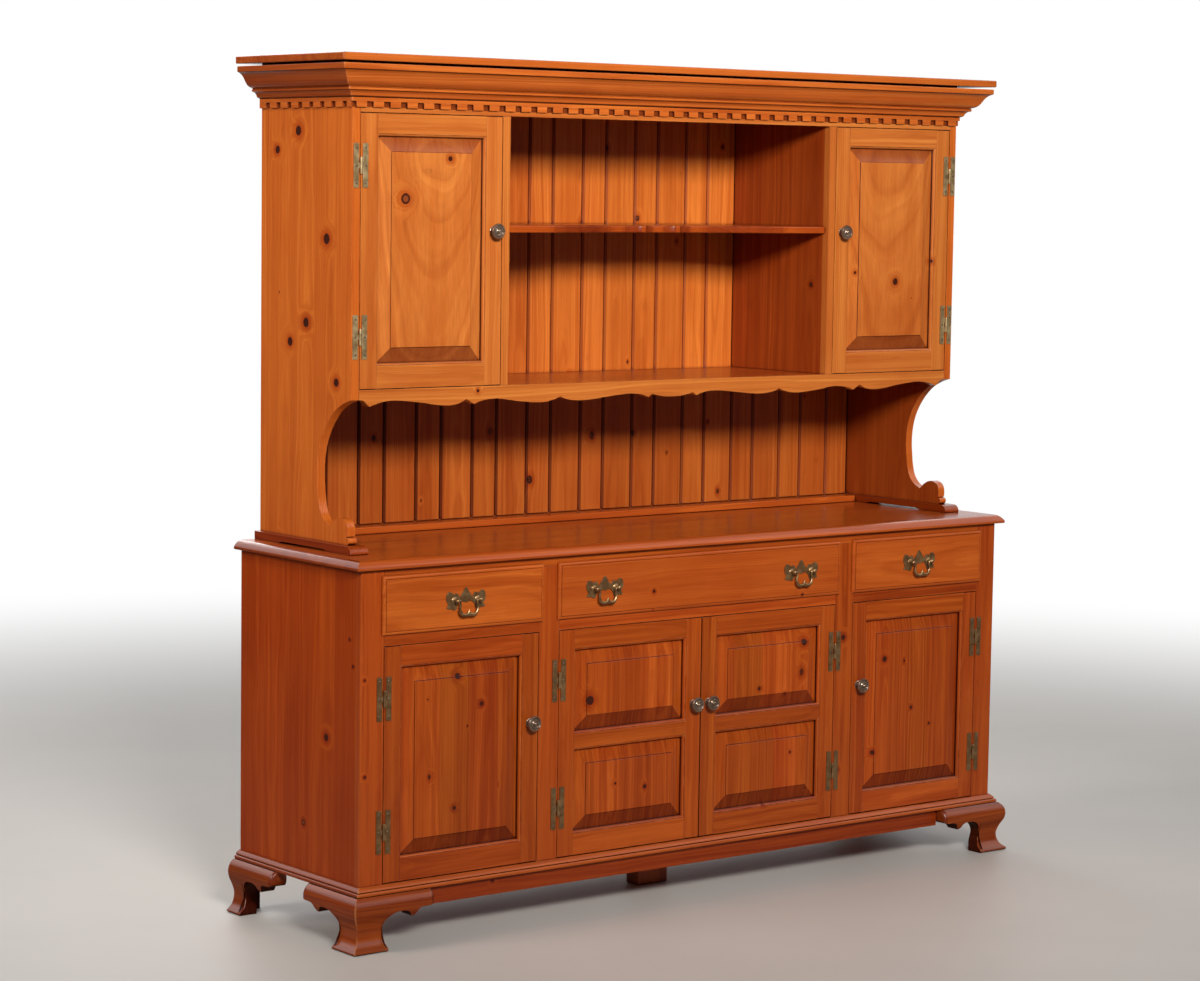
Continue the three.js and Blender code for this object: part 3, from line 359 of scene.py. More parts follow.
def makeKnotGroup(tone):
    # How far a point lies from the nearest set knot, as a share of that knot's radius, and whether a knot
    # with a light heart is near
    tree, _, out = newGroup(f"{tone}Knots", {}, {"Distance": "Float", "Heart": "Float"})
    where = addNode(tree, "TexCoord", {})["Object"]
    axis, level, spots = setKnots[tone]
    nearest, heart = [], []
    for *place, radius in spots:
        place.insert(axis, level)
        gap = addNode(tree, "VectorMath", {0: where, 1: place}, operation="DISTANCE")["Value"]
        gap = calc(tree, "DIVIDE", gap, radius)
        nearest.append(gap)
        if radius in lightHearts:
            heart.append(calc(tree, "LESS_THAN", gap, woodKnots["setReach"]))
    for label, operation, values in (("Distance", "MINIMUM", nearest), ("Heart", "MAXIMUM", heart)):
        while len(values) > 1:
            values[:2] = [calc(tree, operation, *values[:2])]
        if values:
            setInputs(tree, out, {label: values[0]})
    return tree


grainGroup = makeGrainGroup()
glazeAndShadeGroup = makeGlazeAndShadeGroup()


def pineMaterial(tone):
    f = pineFinish
    look, gloss = pineTones[tone]
    material, tree, bsdf = newMaterial(f"{tone}Pine", {"Specular IOR Level": gloss})
    grain, board, ends = (addNode(tree, "Attribute", {}, attribute_name=name)[output] for name, output in
                          (("grain", "Vector"), ("tone", "Fac"), ("endGrainAndShade", "Fac")))
    inputs = {**look, "Grain": grain, "Tone": board, "End Grain And Shade": ends, "Set Knot": f["noKnot"]}
    if tone in setKnots:
        spots = addNode(tree, "Group", {}, node_tree=makeKnotGroup(tone))
        inputs |= {"Set Knot": spots["Distance"], "Set Heart": spots["Heart"]}
    wood = addNode(tree, "Group", inputs, node_tree=grainGroup)
    # Edges are paled, partly as wear and partly as painted highlight, except where a quirk or groove carries
    # painted shade
    wear = softStep(tree, ends, *f["wearAndHighlightEnds"], 0.0, f["wear"])
    finish = addNode(tree, "Group", {"Color": wood["Color"], "Reach": f["glazeAndShadeReach"], "Strength": f["glaze"],
                                     "Wear": wear}, node_tree=glazeAndShadeGroup)
    bump = addNode(tree, "Bump", {"Strength": f["bumpStrength"], "Distance": f["bump"],
                                  "Height": wood["Height"]})
    setInputs(tree, bsdf, {"Base Color": finish["Color"], "Roughness": wood["Roughness"], "Normal": bump[0]})
    return material


brassLooks = {
    "agedBrass": {"bright": (0.50, 0.33, 0.15, 1), "aged": (0.20, 0.106, 0.042, 1),
                  "dark": (0.04, 0.026, 0.013, 1), "gloss": (0.26, 0.42), "polish": 0.25},
    "bailBrass": {"bright": (0.50, 0.33, 0.15, 1), "aged": (0.20, 0.106, 0.042, 1),
                  "dark": (0.04, 0.026, 0.013, 1), "gloss": (0.24, 0.36), "polish": 0.50},
    # For the upper hinges: paler than the base hinges' brass, partly as painted light of the better lit upper
    # stage
    "paleLitBrass": {"bright": (0.76, 0.58, 0.32, 1), "aged": (0.36, 0.25, 0.115, 1),
                   "dark": (0.06, 0.036, 0.018, 1), "gloss": (0.26, 0.40), "polish": 0.45},
    "knobBrass": {"bright": (0.90, 0.80, 0.68, 1), "aged": (0.21, 0.135, 0.092, 1),
                  "dark": (0.02, 0.010, 0.006, 1), "gloss": (0.12, 0.20), "polish": 0.12},
    "screwBrass": {"bright": (0.16, 0.11, 0.07, 1), "aged": (0.06, 0.04, 0.025, 1),
                   "dark": (0.01, 0.007, 0.005, 1), "gloss": (0.45, 0.55), "polish": 0.0},
}
brassMarks = {"metallic": 0.65, "patch": (60.0, 4.0, 0.55), "speck": (500.0, 3.0, 0.6), "cornerReach": 0.004,
              "rimReach": 0.0012, "rim": (0.75, 0.40, 0.0, 0.8), "polished": (0.42, 0.70),
              "corner": (0.80, 0.40), "grime": (0.58, 0.72, 0.0, 0.5), "roughStep": (0.3, 0.7),
              "roughGrime": 0.2, "bump": 0.00015, "bumpStrength": 0.4}


def brassMaterial(name):
    look, m = brassLooks[name], brassMarks
    material, tree, bsdf = newMaterial(name, {"Metallic": m["metallic"]})
    where = addNode(tree, "TexCoord", {})["Object"]
    patch = noise(tree, where, *m["patch"])
    speck = noise(tree, where, *m["speck"])
    corner = openness(tree, m["cornerReach"], 6)
    rim = openness(tree, m["rimReach"], 6, True)
    # Rims and rubbed patches turn bright: polish in the patches, and painted highlight on the rims
    wornAndHighlit = calc(tree, "ADD", softStep(tree, rim, *m["rim"]),
                softStep(tree, patch, *m["polished"], 0.0, look["polish"]))
    color = blendColor(tree, wornAndHighlit, look["aged"], look["bright"])
    grime = calc(tree, "MAXIMUM", softStep(tree, corner, *m["corner"]), softStep(tree, speck, *m["grime"]))
    color = blendColor(tree, grime, color, look["dark"])
    rough = calc(tree, "MULTIPLY_ADD", grime, m["roughGrime"],
                 softStep(tree, patch, *m["roughStep"], *look["gloss"]))
    bump = addNode(tree, "Bump", {"Strength": m["bumpStrength"], "Distance": m["bump"], "Height": speck})
    setInputs(tree, bsdf, {"Base Color": color, "Roughness": rough, "Normal": bump[0]})
    return material


finishes = {tone: pineMaterial(tone) for tone in pineTones}
finishes |= {name: brassMaterial(name) for name in brassLooks}
print("materials made")


# Mesh helpers: parts are small meshes in millimetres, joined into pieces

sameSpot = 0.01  # points of an outline that are nearer than this are one
boardDice = {"wider": 1.03, "numbers": 4000, "starts": 20}
# How far a face may lean out of the grain before the stain darkens it. The per-face attribute runs to 1 for
# full end grain, and from 1 to 2 for a dark brown in quirks, grooves, gaps and faces turned from the light,
# which is partly old stain and partly painted shade. Several parts also set values up to 1 as painted shade
# on faces turned from the light.
endGrainSlope = (0.07, 0.17)


def edgesOf(node):
    low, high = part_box(node)
    return [value * thousand for pair in zip(low, high) for value in pair]


def boxPart(x0, x1, y0, y1, z0, z1):
    part = bmesh.new()
    bmesh.ops.create_cube(part, size=1)
    for vertex in part.verts:
        vertex.co = Vector(((x0 + x1) / 2 + vertex.co.x * (x1 - x0), (y0 + y1) / 2 + vertex.co.y * (y1 - y0),
                            (z0 + z1) / 2 + vertex.co.z * (z1 - z0)))
    return part


def ringsPart(rings):
    part = bmesh.new()
    loops = [[part.verts.new(point) for point in ring] for ring in rings]
    count = len(rings[0])
    for near, far in zip(loops, loops[1:]):
        for i in range(count):
            j = (i + 1) % count
            part.faces.new((near[i], near[j], far[j], far[i]))
    part.faces.new(loops[0][::-1])
    part.faces.new(loops[-1])
    return part


axisPlaces = {"x": lambda u, v, t: (t, u, v), "y": lambda u, v, t: (u, t, v), "z": lambda u, v, t: (u, v, t)}


def sawnPart(outline, axis, start, end):
    place = axisPlaces[axis]
    kept = [spot for i, spot in enumerate(outline) if math.dist(spot, outline[i - 1]) > sameSpot]
    return ringsPart([[place(u, v, t) for u, v in kept] for t in (start, end)])


def turnsOf(count):
    return [2 * math.pi * i / count for i in range(count)]


def turnedPart(profile, x, y, z, count):
    return ringsPart([[(x + radius * math.cos(turn), y - reach, z + radius * math.sin(turn))
                       for turn in turnsOf(count)] for radius, reach in profile])


def rodPart(x, y, z0, z1, radius, count):
    return ringsPart([[(x + radius * math.cos(turn), y + radius * math.sin(turn), z)
                       for turn in turnsOf(count)] for z in (z0, z1)])


def curve(points, steps):
    ends = [tuple(2 * a - b for a, b in zip(points[0], points[1])),
            tuple(2 * a - b for a, b in zip(points[-1], points[-2]))]
    line = [ends[0], *points, ends[1]]
    made = []
    for i in range(len(points) - 1):
        p = [Vector(point) for point in line[i:i + 4]]
        knots = [0.0]
        for a, b in zip(p, p[1:]):
            knots.append(knots[-1] + max(math.sqrt((b - a).length), 1e-6))
        for k in range(steps):
            t = knots[1] + (knots[2] - knots[1]) * k / steps
            a = [p[j] + (p[j + 1] - p[j]) * ((t - knots[j]) / (knots[j + 1] - knots[j])) for j in range(3)]
            b = [a[j] + (a[j + 1] - a[j]) * ((t - knots[j]) / (knots[j + 2] - knots[j])) for j in range(2)]
            made.append(tuple(b[0] + (b[1] - b[0]) * ((t - knots[1]) / (knots[2] - knots[1]))))
    made.append(tuple(points[-1]))
    return made


def newPiece():
    return {"points": [], "faces": [], "grain": [], "tone": [], "material": [], "ends": [], "creases": set()}


def newBoard(low, high, along, glued):
    d = boardDice
    lengthAxis = "xyz".index(along)
    others = sorted((i for i in range(3) if i != lengthAxis), key=lambda i: low[i] - high[i])
    width = high[others[0]] - low[others[0]]
    return {"axes": (lengthAxis, *others), "middle": (high[others[0]] + low[others[0]]) / 2,
            "deep": low[others[1]],
            "width": glued or max(woodGrain["stripWidth"] * thousand, width * d["wider"]),
            "number": chance.randrange(d["numbers"]) + 0.5 + (chance.random() if glued else 0),
            "start": chance.uniform(0, d["starts"]), "tone": chance.random()}


def addPart(piece, part, along="z", edge=1.2, rounds=2, glued=None, material=0, corners=30, crease=35,
            board=None, stainAndShade=None, lean=0, depthShare=1):
    # The grain runs along an axis. A glued part is made of strips of that width, and board is that of another
    # part whose grain goes on. The stain and shade function gives a face's end-grain value, which on many
    # parts is painted shade, or None to work it out from its lean.
    bmesh.ops.recalc_face_normals(part, faces=part.faces)
    if edge:
        sharp = [e for e in part.edges if e.is_manifold and e.calc_face_angle(0) > math.radians(corners)]
        bmesh.ops.bevel(part, geom=sharp, offset=edge, segments=rounds, profile=0.5, affect="EDGES",
                        clamp_overlap=True)
    part.normal_update()
    part.verts.index_update()
    first = len(piece["points"])
    points = [vertex.co.copy() for vertex in part.verts]
    if board is None:
        low = [min(point[i] for point in points) for i in range(3)]
        high = [max(point[i] for point in points) for i in range(3)]
        board = newBoard(low, high, along, glued)
    run, wide, deep = board["axes"]
    start = min(point[run] for point in points)
    for point in points:
        sunk = (point[deep] - board["deep"]) * depthShare - lean * (point[run] - start)
        strip = board["number"] + (point[wide] - board["middle"]) / board["width"]
        piece["grain"] += [board["start"] + point[run] / thousand, strip, sunk / thousand]
    piece["tone"] += [board["tone"]] * len(points)
    piece["points"] += [point / thousand for point in points]
    for e in part.edges:
        if e.calc_face_angle(math.pi) > math.radians(crease):
            piece["creases"].add(tuple(sorted((e.verts[0].index + first, e.verts[1].index + first))))
    start, end = endGrainSlope
    for face in part.faces:
        piece["faces"].append([vertex.index + first for vertex in face.verts])
        ends = min(1.0, max(0.0, (abs(face.normal[run]) - start) / (end - start)))
        value = stainAndShade(face) if stainAndShade else None
        piece["ends"].append(ends if value is None else value)
    piece["material"] += [material(face) if callable(material) else material for face in part.faces]
    part.free()
    return board


def finishPiece(piece, node, *looks, body="case", replaced=None, slot="pine"):
    # The piece takes its name from its CAD node and replaces that, unless replaced says otherwise.
    first, *rest = node.split("_")
    name = first + "".join(word.capitalize() for word in rest)
    replaced = [node] if replaced is None else replaced
    mesh = bpy.data.meshes.new(name)
    mesh.from_pydata(piece["points"], [], piece["faces"])
    mesh.attributes.new("grain", "FLOAT_VECTOR", "POINT").data.foreach_set("vector", piece["grain"])
    mesh.attributes.new("tone", "FLOAT", "POINT").data.foreach_set("value", piece["tone"])
    mesh.attributes.new("endGrainAndShade", "FLOAT", "FACE").data.foreach_set("value", piece["ends"])
    for look in looks:
        mesh.materials.append(finishes[look])
    mesh.polygons.foreach_set("material_index", piece["material"])
    mesh.shade_smooth()
    for line in mesh.edges:
        line.use_edge_sharp = tuple(sorted(line.vertices)) in piece["creases"]
    made = bpy.data.objects.new(name, mesh)
    scene.collection.objects.link(made)
    weighting = made.modifiers.new("flatFaces", "WEIGHTED_NORMAL")
    weighting.keep_sharp = True
    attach(made, body)
    if replaced:
        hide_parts(*replaced)
    return made


def moulding(piece, profile, half, front, rear, edge=0.4, stainAndShade=None):
    # The run along the front and the two returns meet in mitres at the corners.
    ends = [[(side * (half + reach), front - reach, z) for reach, z in profile] for side in (-1, 1)]
    addPart(piece, ringsPart(ends), "x", edge, 2, stainAndShade=stainAndShade)
    for side, near in zip((-1, 1), ends):
        far = [(side * (half + reach), rear, z) for reach, z in profile]
        addPart(piece, ringsPart([near, far]), "y", edge, 2, stainAndShade=stainAndShade)


# Places from the frame
bothSides = ((-1, "left"), (1, "right"))
baseSide = edgesOf("base_right_side")
baseFrame = edgesOf("base_face_frame")
upperSide = edgesOf("upper_right_side")
upperFrame = edgesOf("upper_face_frame")
deckBox = edgesOf("upper_deck")
partitionBox = edgesOf("upper_right_partition")
shoeBox = edgesOf("right_shoe")
upperDoorBox, baseDoorBox = edgesOf("upper_left_door"), edgesOf("base_left_door")
leftDrawerBox, centreDrawerBox = edgesOf("left_drawer"), edgesOf("centre_drawer")
baseFront, baseFrameRear, baseHalf = baseFrame[2], baseFrame[3], baseFrame[1]
caseRear = baseSide[3]
caseBottom, caseTop = baseSide[4], baseSide[5]
upperFront, upperFrameRear, upperHalf = upperFrame[2], upperFrame[3], upperSide[1]
upperInner = deckBox[1]
deckTop = deckBox[5]
shoeTop = shoeBox[5]
upperTop = upperSide[5]
backFront = deckBox[3]
doorGap = 1.5
drawerLip = 7
# The openings of the base's face frame
outerEdge, outerInner = -leftDrawerBox[0] - drawerLip, -leftDrawerBox[1] + drawerLip
centreEdge = centreDrawerBox[1] - drawerLip
drawerBottom, drawerTop = leftDrawerBox[4] + drawerLip, leftDrawerBox[5] - drawerLip
doorBottom, doorTop = baseDoorBox[4] - doorGap, baseDoorBox[5] + doorGap
upperDoorTop = upperDoorBox[5] + doorGap


def topBoard():
    sizes = {"edge": 3.0, "edgeSteps": 4, "boards": 105, "endStain": 0.8}
    piece = newPiece()
    addPart(piece, boxPart(*edgesOf("top_board")), "x", sizes["edge"], sizes["edgeSteps"],
            glued=sizes["boards"],
            stainAndShade=lambda face: sizes["endStain"] if abs(face.normal.x) > 0.5 else None)
    finishPiece(piece, "top_board", "crown")


coveShares = [(0.16, 0.035), (0.20, 0.055), (0.22, 0.105), (0.26, 0.16), (0.315, 0.20), (0.375, 0.215)]
filletShares = [(0.40, 0.225), (0.412, 0.245), (0.412, 0.285), (0.40, 0.30), (0.385, 0.305), (0.385, 0.322)]
sweepShares = [(0.415, 0.33), (0.467, 0.349), (0.536, 0.378), (0.62, 0.449), (0.688, 0.547), (0.755, 0.655),
               (0.84, 0.749), (0.925, 0.80), (0.965, 0.815)]
capShares = [(0.985, 0.825), (1, 0.85), (1, 0.975), (0.985, 1)]
crownQuirks = [(0.300, 0.330), (0.195, 0.222), (0.795, 0.83), (-0.01, 0.05)]


def cornice():
    sizes = {"stripReach": 6, "toothHeight": 12, "band": 8, "pitch": 42.4, "gap": 16, "depth": 5.7,
             "edge": 0.5, "quirkShade": 1.75, "returnShade": 0.9, "backingShade": 1.55, "toothShade": 1.7}
    y0, z0, z1 = (edgesOf("cornice")[i] for i in (2, 4, 5))
    reach = upperFront - y0
    toothTop = z0 + sizes["toothHeight"]
    stripTop = toothTop + sizes["band"]
    strip, pitch, edge = sizes["stripReach"], sizes["pitch"], sizes["edge"]

    def places(shares):
        return [(reach * share, stripTop + (z1 - stripTop) * height) for share, height in shares]

    # Painted shade: down-facing faces in the quirks are near-black and the side returns darker
    def paintQuirkShade(face):
        share = (face.calc_center_median().z - stripTop) / (z1 - stripTop)
        if face.normal.z < -0.55 and any(start < share < end for start, end in crownQuirks):
            return sizes["quirkShade"]
        return sizes["returnShade"] if abs(face.normal.x) > 0.3 else None

    # Painted shade on the teeth's sides and undersides
    def paintToothShade(face):
        return sizes["toothShade"] if abs(face.normal.x) > 0.8 or face.normal.z < -0.8 else None

    def run(profile, edge, stainAndShade=None):
        moulding(piece, profile, upperHalf, upperFront, caseRear, edge, stainAndShade)

    def tooth(left, right, stainAndShade=None):
        addPart(piece, boxPart(left, right, upperFront - strip, upperFront, z0, toothTop), "x", edge, 2,
                stainAndShade=stainAndShade)

    piece = newPiece()
    run([(0, stripTop), (strip - 1, stripTop), *curve(places(coveShares), 3), *places(filletShares),
         *curve(places(sweepShares), 4), *places(capShares), (0, z1)], 0, paintQuirkShade)
    run([(0, toothTop), (strip, toothTop), (strip, stripTop), (0, stripTop)], edge)
    sunk = strip - sizes["depth"]
    # Painted shade on the ground behind the teeth
    run([(0, z0), (sunk, z0), (sunk, toothTop), (0, toothTop)], 0, lambda face: sizes["backingShade"])
    width = pitch - sizes["gap"]
    count = int((upperHalf + strip) / pitch)
    for i in range(-count, count + 1):
        left, right = i * pitch - width / 2, i * pitch + width / 2
        tooth(max(left, -upperHalf - strip), min(right, upperHalf + strip), paintToothShade)
    for x in (-upperHalf - strip, upperHalf + strip):
        inner = math.copysign((count + 1) * pitch - width / 2, x)
        if abs(inner) < abs(x) - 2:
            tooth(min(inner, x), max(inner, x))
    for side in (-1, 1):
        for i in range(int((caseRear - upperFront) / pitch) + 1):
            start = upperFront + i * pitch - width / 2
            xs = sorted((side * upperHalf, side * (upperHalf + strip)))
            ys = (max(start, upperFront), min(start + width, caseRear))
            addPart(piece, boxPart(*xs, *ys, z0, toothTop), "y", edge)
    finishPiece(piece, "cornice", "crown")


cutShares = [(0, 0.935), (0.075, 0.91), (0.165, 0.86), (0.242, 0.784), (0.297, 0.705), (0.334, 0.624),
             (0.356, 0.53), (0.362, 0.43), (0.355, 0.345), (0.345, 0.266), (0.322, 0.19), (0.28, 0.138),
             (0.215, 0.102)]
scrollShares = [(0.215, 0.102), (0.18, 0.136), (0.14, 0.160), (0.10, 0.168), (0.062, 0.157), (0.037, 0.132),
                (0.028, 0.095), (0.030, 0.054)]
beadShares = [(0.042, 0.05), (0.024, 0.046), (0.012, 0.034), (0.013, 0.014), (0.027, 0)]


def upperSides():
    sizes = {"edge": 1.4, "boards": 94, "cutEdgeHighlight": 0.15, "innerShade": 1.25}
    outline = [(upperFront, upperTop)]
    for shares, steps in ((cutShares, 4), (scrollShares, 5), (beadShares, 4)):
        outline += curve([(upperFront + (caseRear - upperFront) * a, shoeTop + (deckTop - shoeTop) * b)
                          for a, b in shares], steps)
    outline += [(caseRear, shoeTop), (caseRear, upperTop)]
    for side, word in bothSides:
        # Painted shade on the inner faces; the cut edges are kept pale instead of darkening as end grain, a
        # painted highlight
        def paintSideShade(face):
            if abs(face.normal.x) < 0.5:
                return sizes["cutEdgeHighlight"]
            return sizes["innerShade"] if face.normal.x * side < 0 else None

        piece = newPiece()
        xs = sorted((side * upperHalf, side * upperInner))
        addPart(piece, sawnPart(outline, "x", *xs), "z", sizes["edge"], 2, glued=sizes["boards"], corners=25,
                stainAndShade=paintSideShade)
        finishPiece(piece, f"upper_{word}_side", "side")


apronShares = [
    [(0, 0.93), (0.03, 0.9), (0.058, 0.8), (0.07, 0.74)],
    [(0.082, 0.92), (0.09, 0.86), (0.105, 0.76), (0.145, 0.68), (0.2, 0.76), (0.29, 0.94), (0.33, 0.93),
     (0.358, 0.84), (0.376, 0.7)],
    [(0.39, 0.82), (0.42, 0.95), (0.46, 0.96), (0.52, 0.84), (0.575, 0.69), (0.61, 0.72), (0.635, 0.82),
     (0.65, 0.94)],
    [(0.674, 0.66), (0.69, 0.82), (0.712, 0.93), (0.75, 0.94), (0.82, 0.74), (0.893, 0.6), (0.93, 0.66),
     (0.952, 0.78), (0.968, 0.88)],
    [(0.974, 0.8), (0.987, 0.56), (1, 0.52)],
]


def upperFaceFrame():
    sizes = {"apronHeight": 41, "edge": 0.8}
    half = upperFrame[1]
    outline = []
    for shares in apronShares:
        outline += curve([(half * u, deckTop - sizes["apronHeight"] * v) for u, v in shares], 5)
    whole = [*outline, (half, deckTop), (-half, deckTop), *[(-u, v) for u, v in outline[:0:-1]]]
    piece = newPiece()
    addPart(piece, sawnPart(whole, "y", upperFront, upperFrameRear), "x", sizes["edge"], 2, corners=25)
    ys = (upperFront, upperFrameRear)
    addPart(piece, boxPart(-half, half, *ys, upperDoorTop, upperTop), "x", sizes["edge"])
    for side in (-1, 1):
        xs = sorted((side * partitionBox[0], side * partitionBox[1]))
        addPart(piece, boxPart(*xs, *ys, deckTop, upperDoorTop), "z", sizes["edge"])
    finishPiece(piece, "upper_face_frame", "upper")


shelfTipShares = [(0, 0.185), (0.035, 0.182), (0.07, 0.17), (0.095, 0.15)]
shelfNotch = (0.12, 0.15)
shelfShares = [(0.13, 0.162), (0.22, 0.19), (0.36, 0.17), (0.54, 0.095), (0.72, 0.035), (0.88, 0.028),
               (1, 0.03)]


def upperInside():
    sizes = {"edge": 1.0, "shelfEdge": 3.0, "boards": 100}
    piece = newPiece()
    addPart(piece, boxPart(*deckBox), "x", sizes["edge"], glued=sizes["boards"])
    finishPiece(piece, "upper_deck", "drawer")
    for name in ("upper_left_partition", "upper_right_partition"):
        piece = newPiece()
        addPart(piece, boxPart(*edgesOf(name)), "z", sizes["edge"], glued=sizes["boards"])
        finishPiece(piece, name, "inside")
    _, x1, _, y1, z0, z1 = edgesOf("centre_shelf")

    def places(*shares):
        return [(x1 * a, upperFront + (y1 - upperFront) * b) for a, b in shares]

    half = curve(places(*shelfTipShares), 3) + places(shelfNotch) + curve(places(*shelfShares), 6)
    outline = [*half, (x1, y1), (-x1, y1), *[(-u, v) for u, v in half[:0:-1]]]
    piece = newPiece()
    addPart(piece, sawnPart(outline, "z", z0, z1), "x", sizes["shelfEdge"], 3, glued=sizes["boards"],
            corners=50)
    finishPiece(piece, "centre_shelf", "base")


def backBoards():
    sizes = {"pitch": 154.8, "second": 0.44, "vee": 4.8, "veeDepth": 4, "gap": 0.5, "ledgeHeight": 16,
             "ledgeDepth": 45, "ledgeEdge": 2.2, "edge": 0.35, "ends": 8, "clear": 0.3, "rows": 9,
             "lowGrooveShade": 1.45, "highGrooveShade": 1.15, "grooveShadeFall": 0.35}
    seams = [(i + share) * sizes["pitch"] for i in range(-sizes["rows"], sizes["rows"])
             for share in (0, sizes["second"])]
    lines = [-upperInner, *sorted(x for x in seams if abs(x) < upperInner - sizes["ends"]), upperInner]
    front, rear = backFront, caseRear
    vee, sunk, gap = sizes["vee"], front + sizes["veeDepth"], sizes["gap"] / 2
    bottom = edgesOf("back_boards")[4]

    # Painted shade in the grooves: darker below the deck and darker towards the left
    def paintGrooveShade(face):
        middle = face.calc_center_median()
        if face.normal.y > -0.3 or abs(face.normal.x) < 0.3:
            return None
        stain = sizes["lowGrooveShade" if middle.z < deckTop else "highGrooveShade"]
        return stain - sizes["grooveShadeFall"] * middle.x / upperInner

    def rawBehind(look):
        return lambda face: 3 if face.normal.y > 0.7 else look

    piece = newPiece()
    for left, right in zip(lines, lines[1:]):
        outline = [(left + gap, rear), (left + gap, sunk), (left + vee, front), (right - vee, front),
                   (right - gap, sunk), (right - gap, rear)]
        board = None
        # Below the deck each board takes the darker recess tone: painted shade
        for low, high, look in ((deckTop, upperTop, 0), (shoeTop, deckTop, 2)):
            board = addPart(piece, sawnPart(outline, "z", low, high), "z", sizes["edge"], 1,
                            material=rawBehind(look), board=board, stainAndShade=paintGrooveShade)
    ledge = shoeBox[0] - sizes["clear"]
    zs = (bottom, bottom + sizes["ledgeHeight"])
    addPart(piece, boxPart(-ledge, ledge, front - sizes["ledgeDepth"], sunk, *zs), "x", sizes["ledgeEdge"], 3,
            material=1)
    addPart(piece, boxPart(-ledge, ledge, sunk, rear, bottom + sizes["clear"], shoeTop), "x", 0.5, 1,
            material=rawBehind(0))
    finishPiece(piece, "back_boards", "back", "drawer", "recessShade", "raw")


def shoes():
    sizes = {"noseShare": 0.9, "flatShare": 0.1, "noseSteps": 12, "slotHeight": 4, "slotShares": (0.24, 0.75),
             "ramp": 0.08, "edge": 1.4, "noseStain": 0.4, "stain": 1.0}
    x0, x1, y0, y1, z0, z1 = shoeBox
    nose = (z1 - z0) * sizes["noseShare"]
    slot0, slot1 = (y0 + (y1 - y0) * share for share in sizes["slotShares"])
    ramp, slotTop = (slot1 - slot0) * sizes["ramp"], z0 + sizes["slotHeight"]
    outline = [(y0 + nose * sizes["flatShare"], z0), (slot0, z0), (slot0 + ramp, slotTop),
               (slot1 - ramp, slotTop), (slot1, z0), (y1, z0), (y1, z1)]
    for i in range(sizes["noseSteps"] + 1):
        turn = math.pi / 2 * (1 + i / sizes["noseSteps"])
        outline.append((y0 + nose + nose * math.cos(turn), z1 - nose + nose * math.sin(turn)))
    for side, word in bothSides:
        piece = newPiece()
        xs = sorted((side * x0, side * x1))
        addPart(piece, sawnPart(outline, "x", *xs), "y", sizes["edge"], corners=35,
                stainAndShade=lambda face: sizes["noseStain" if face.normal.y < -0.1 else "stain"])
        finishPiece(piece, f"{word}_shoe", "base")


topEdgeShares = [(0.80, 0), (0.92, 0.02), (0.985, 0.08), (1, 0.17), (0.99, 0.27), (0.95, 0.36), (0.88, 0.46),
                 (0.79, 0.57), (0.68, 0.68), (0.56, 0.78), (0.43, 0.87), (0.30, 0.94), (0.18, 0.98),
                 (0.06, 1)]


def baseTop():
    sizes = {"boards": 110, "endStain": 1.15}
    _, x1, y0, y1, z0, z1 = edgesOf("base_top")
    reach = x1 - baseHalf
    rings = []
    for r, h in topEdgeShares:
        half, front, z = baseHalf + reach * r, y0 + reach - reach * r, z0 + (z1 - z0) * h
        rings.append([(-half, front, z), (half, front, z), (half, y1, z), (-half, y1, z)])
    piece = newPiece()
    addPart(piece, ringsPart(rings), "x", 0, glued=sizes["boards"],
            stainAndShade=lambda face: sizes["endStain"] if abs(face.normal.x) > 0.1 else None)
    finishPiece(piece, "base_top", "drawer")


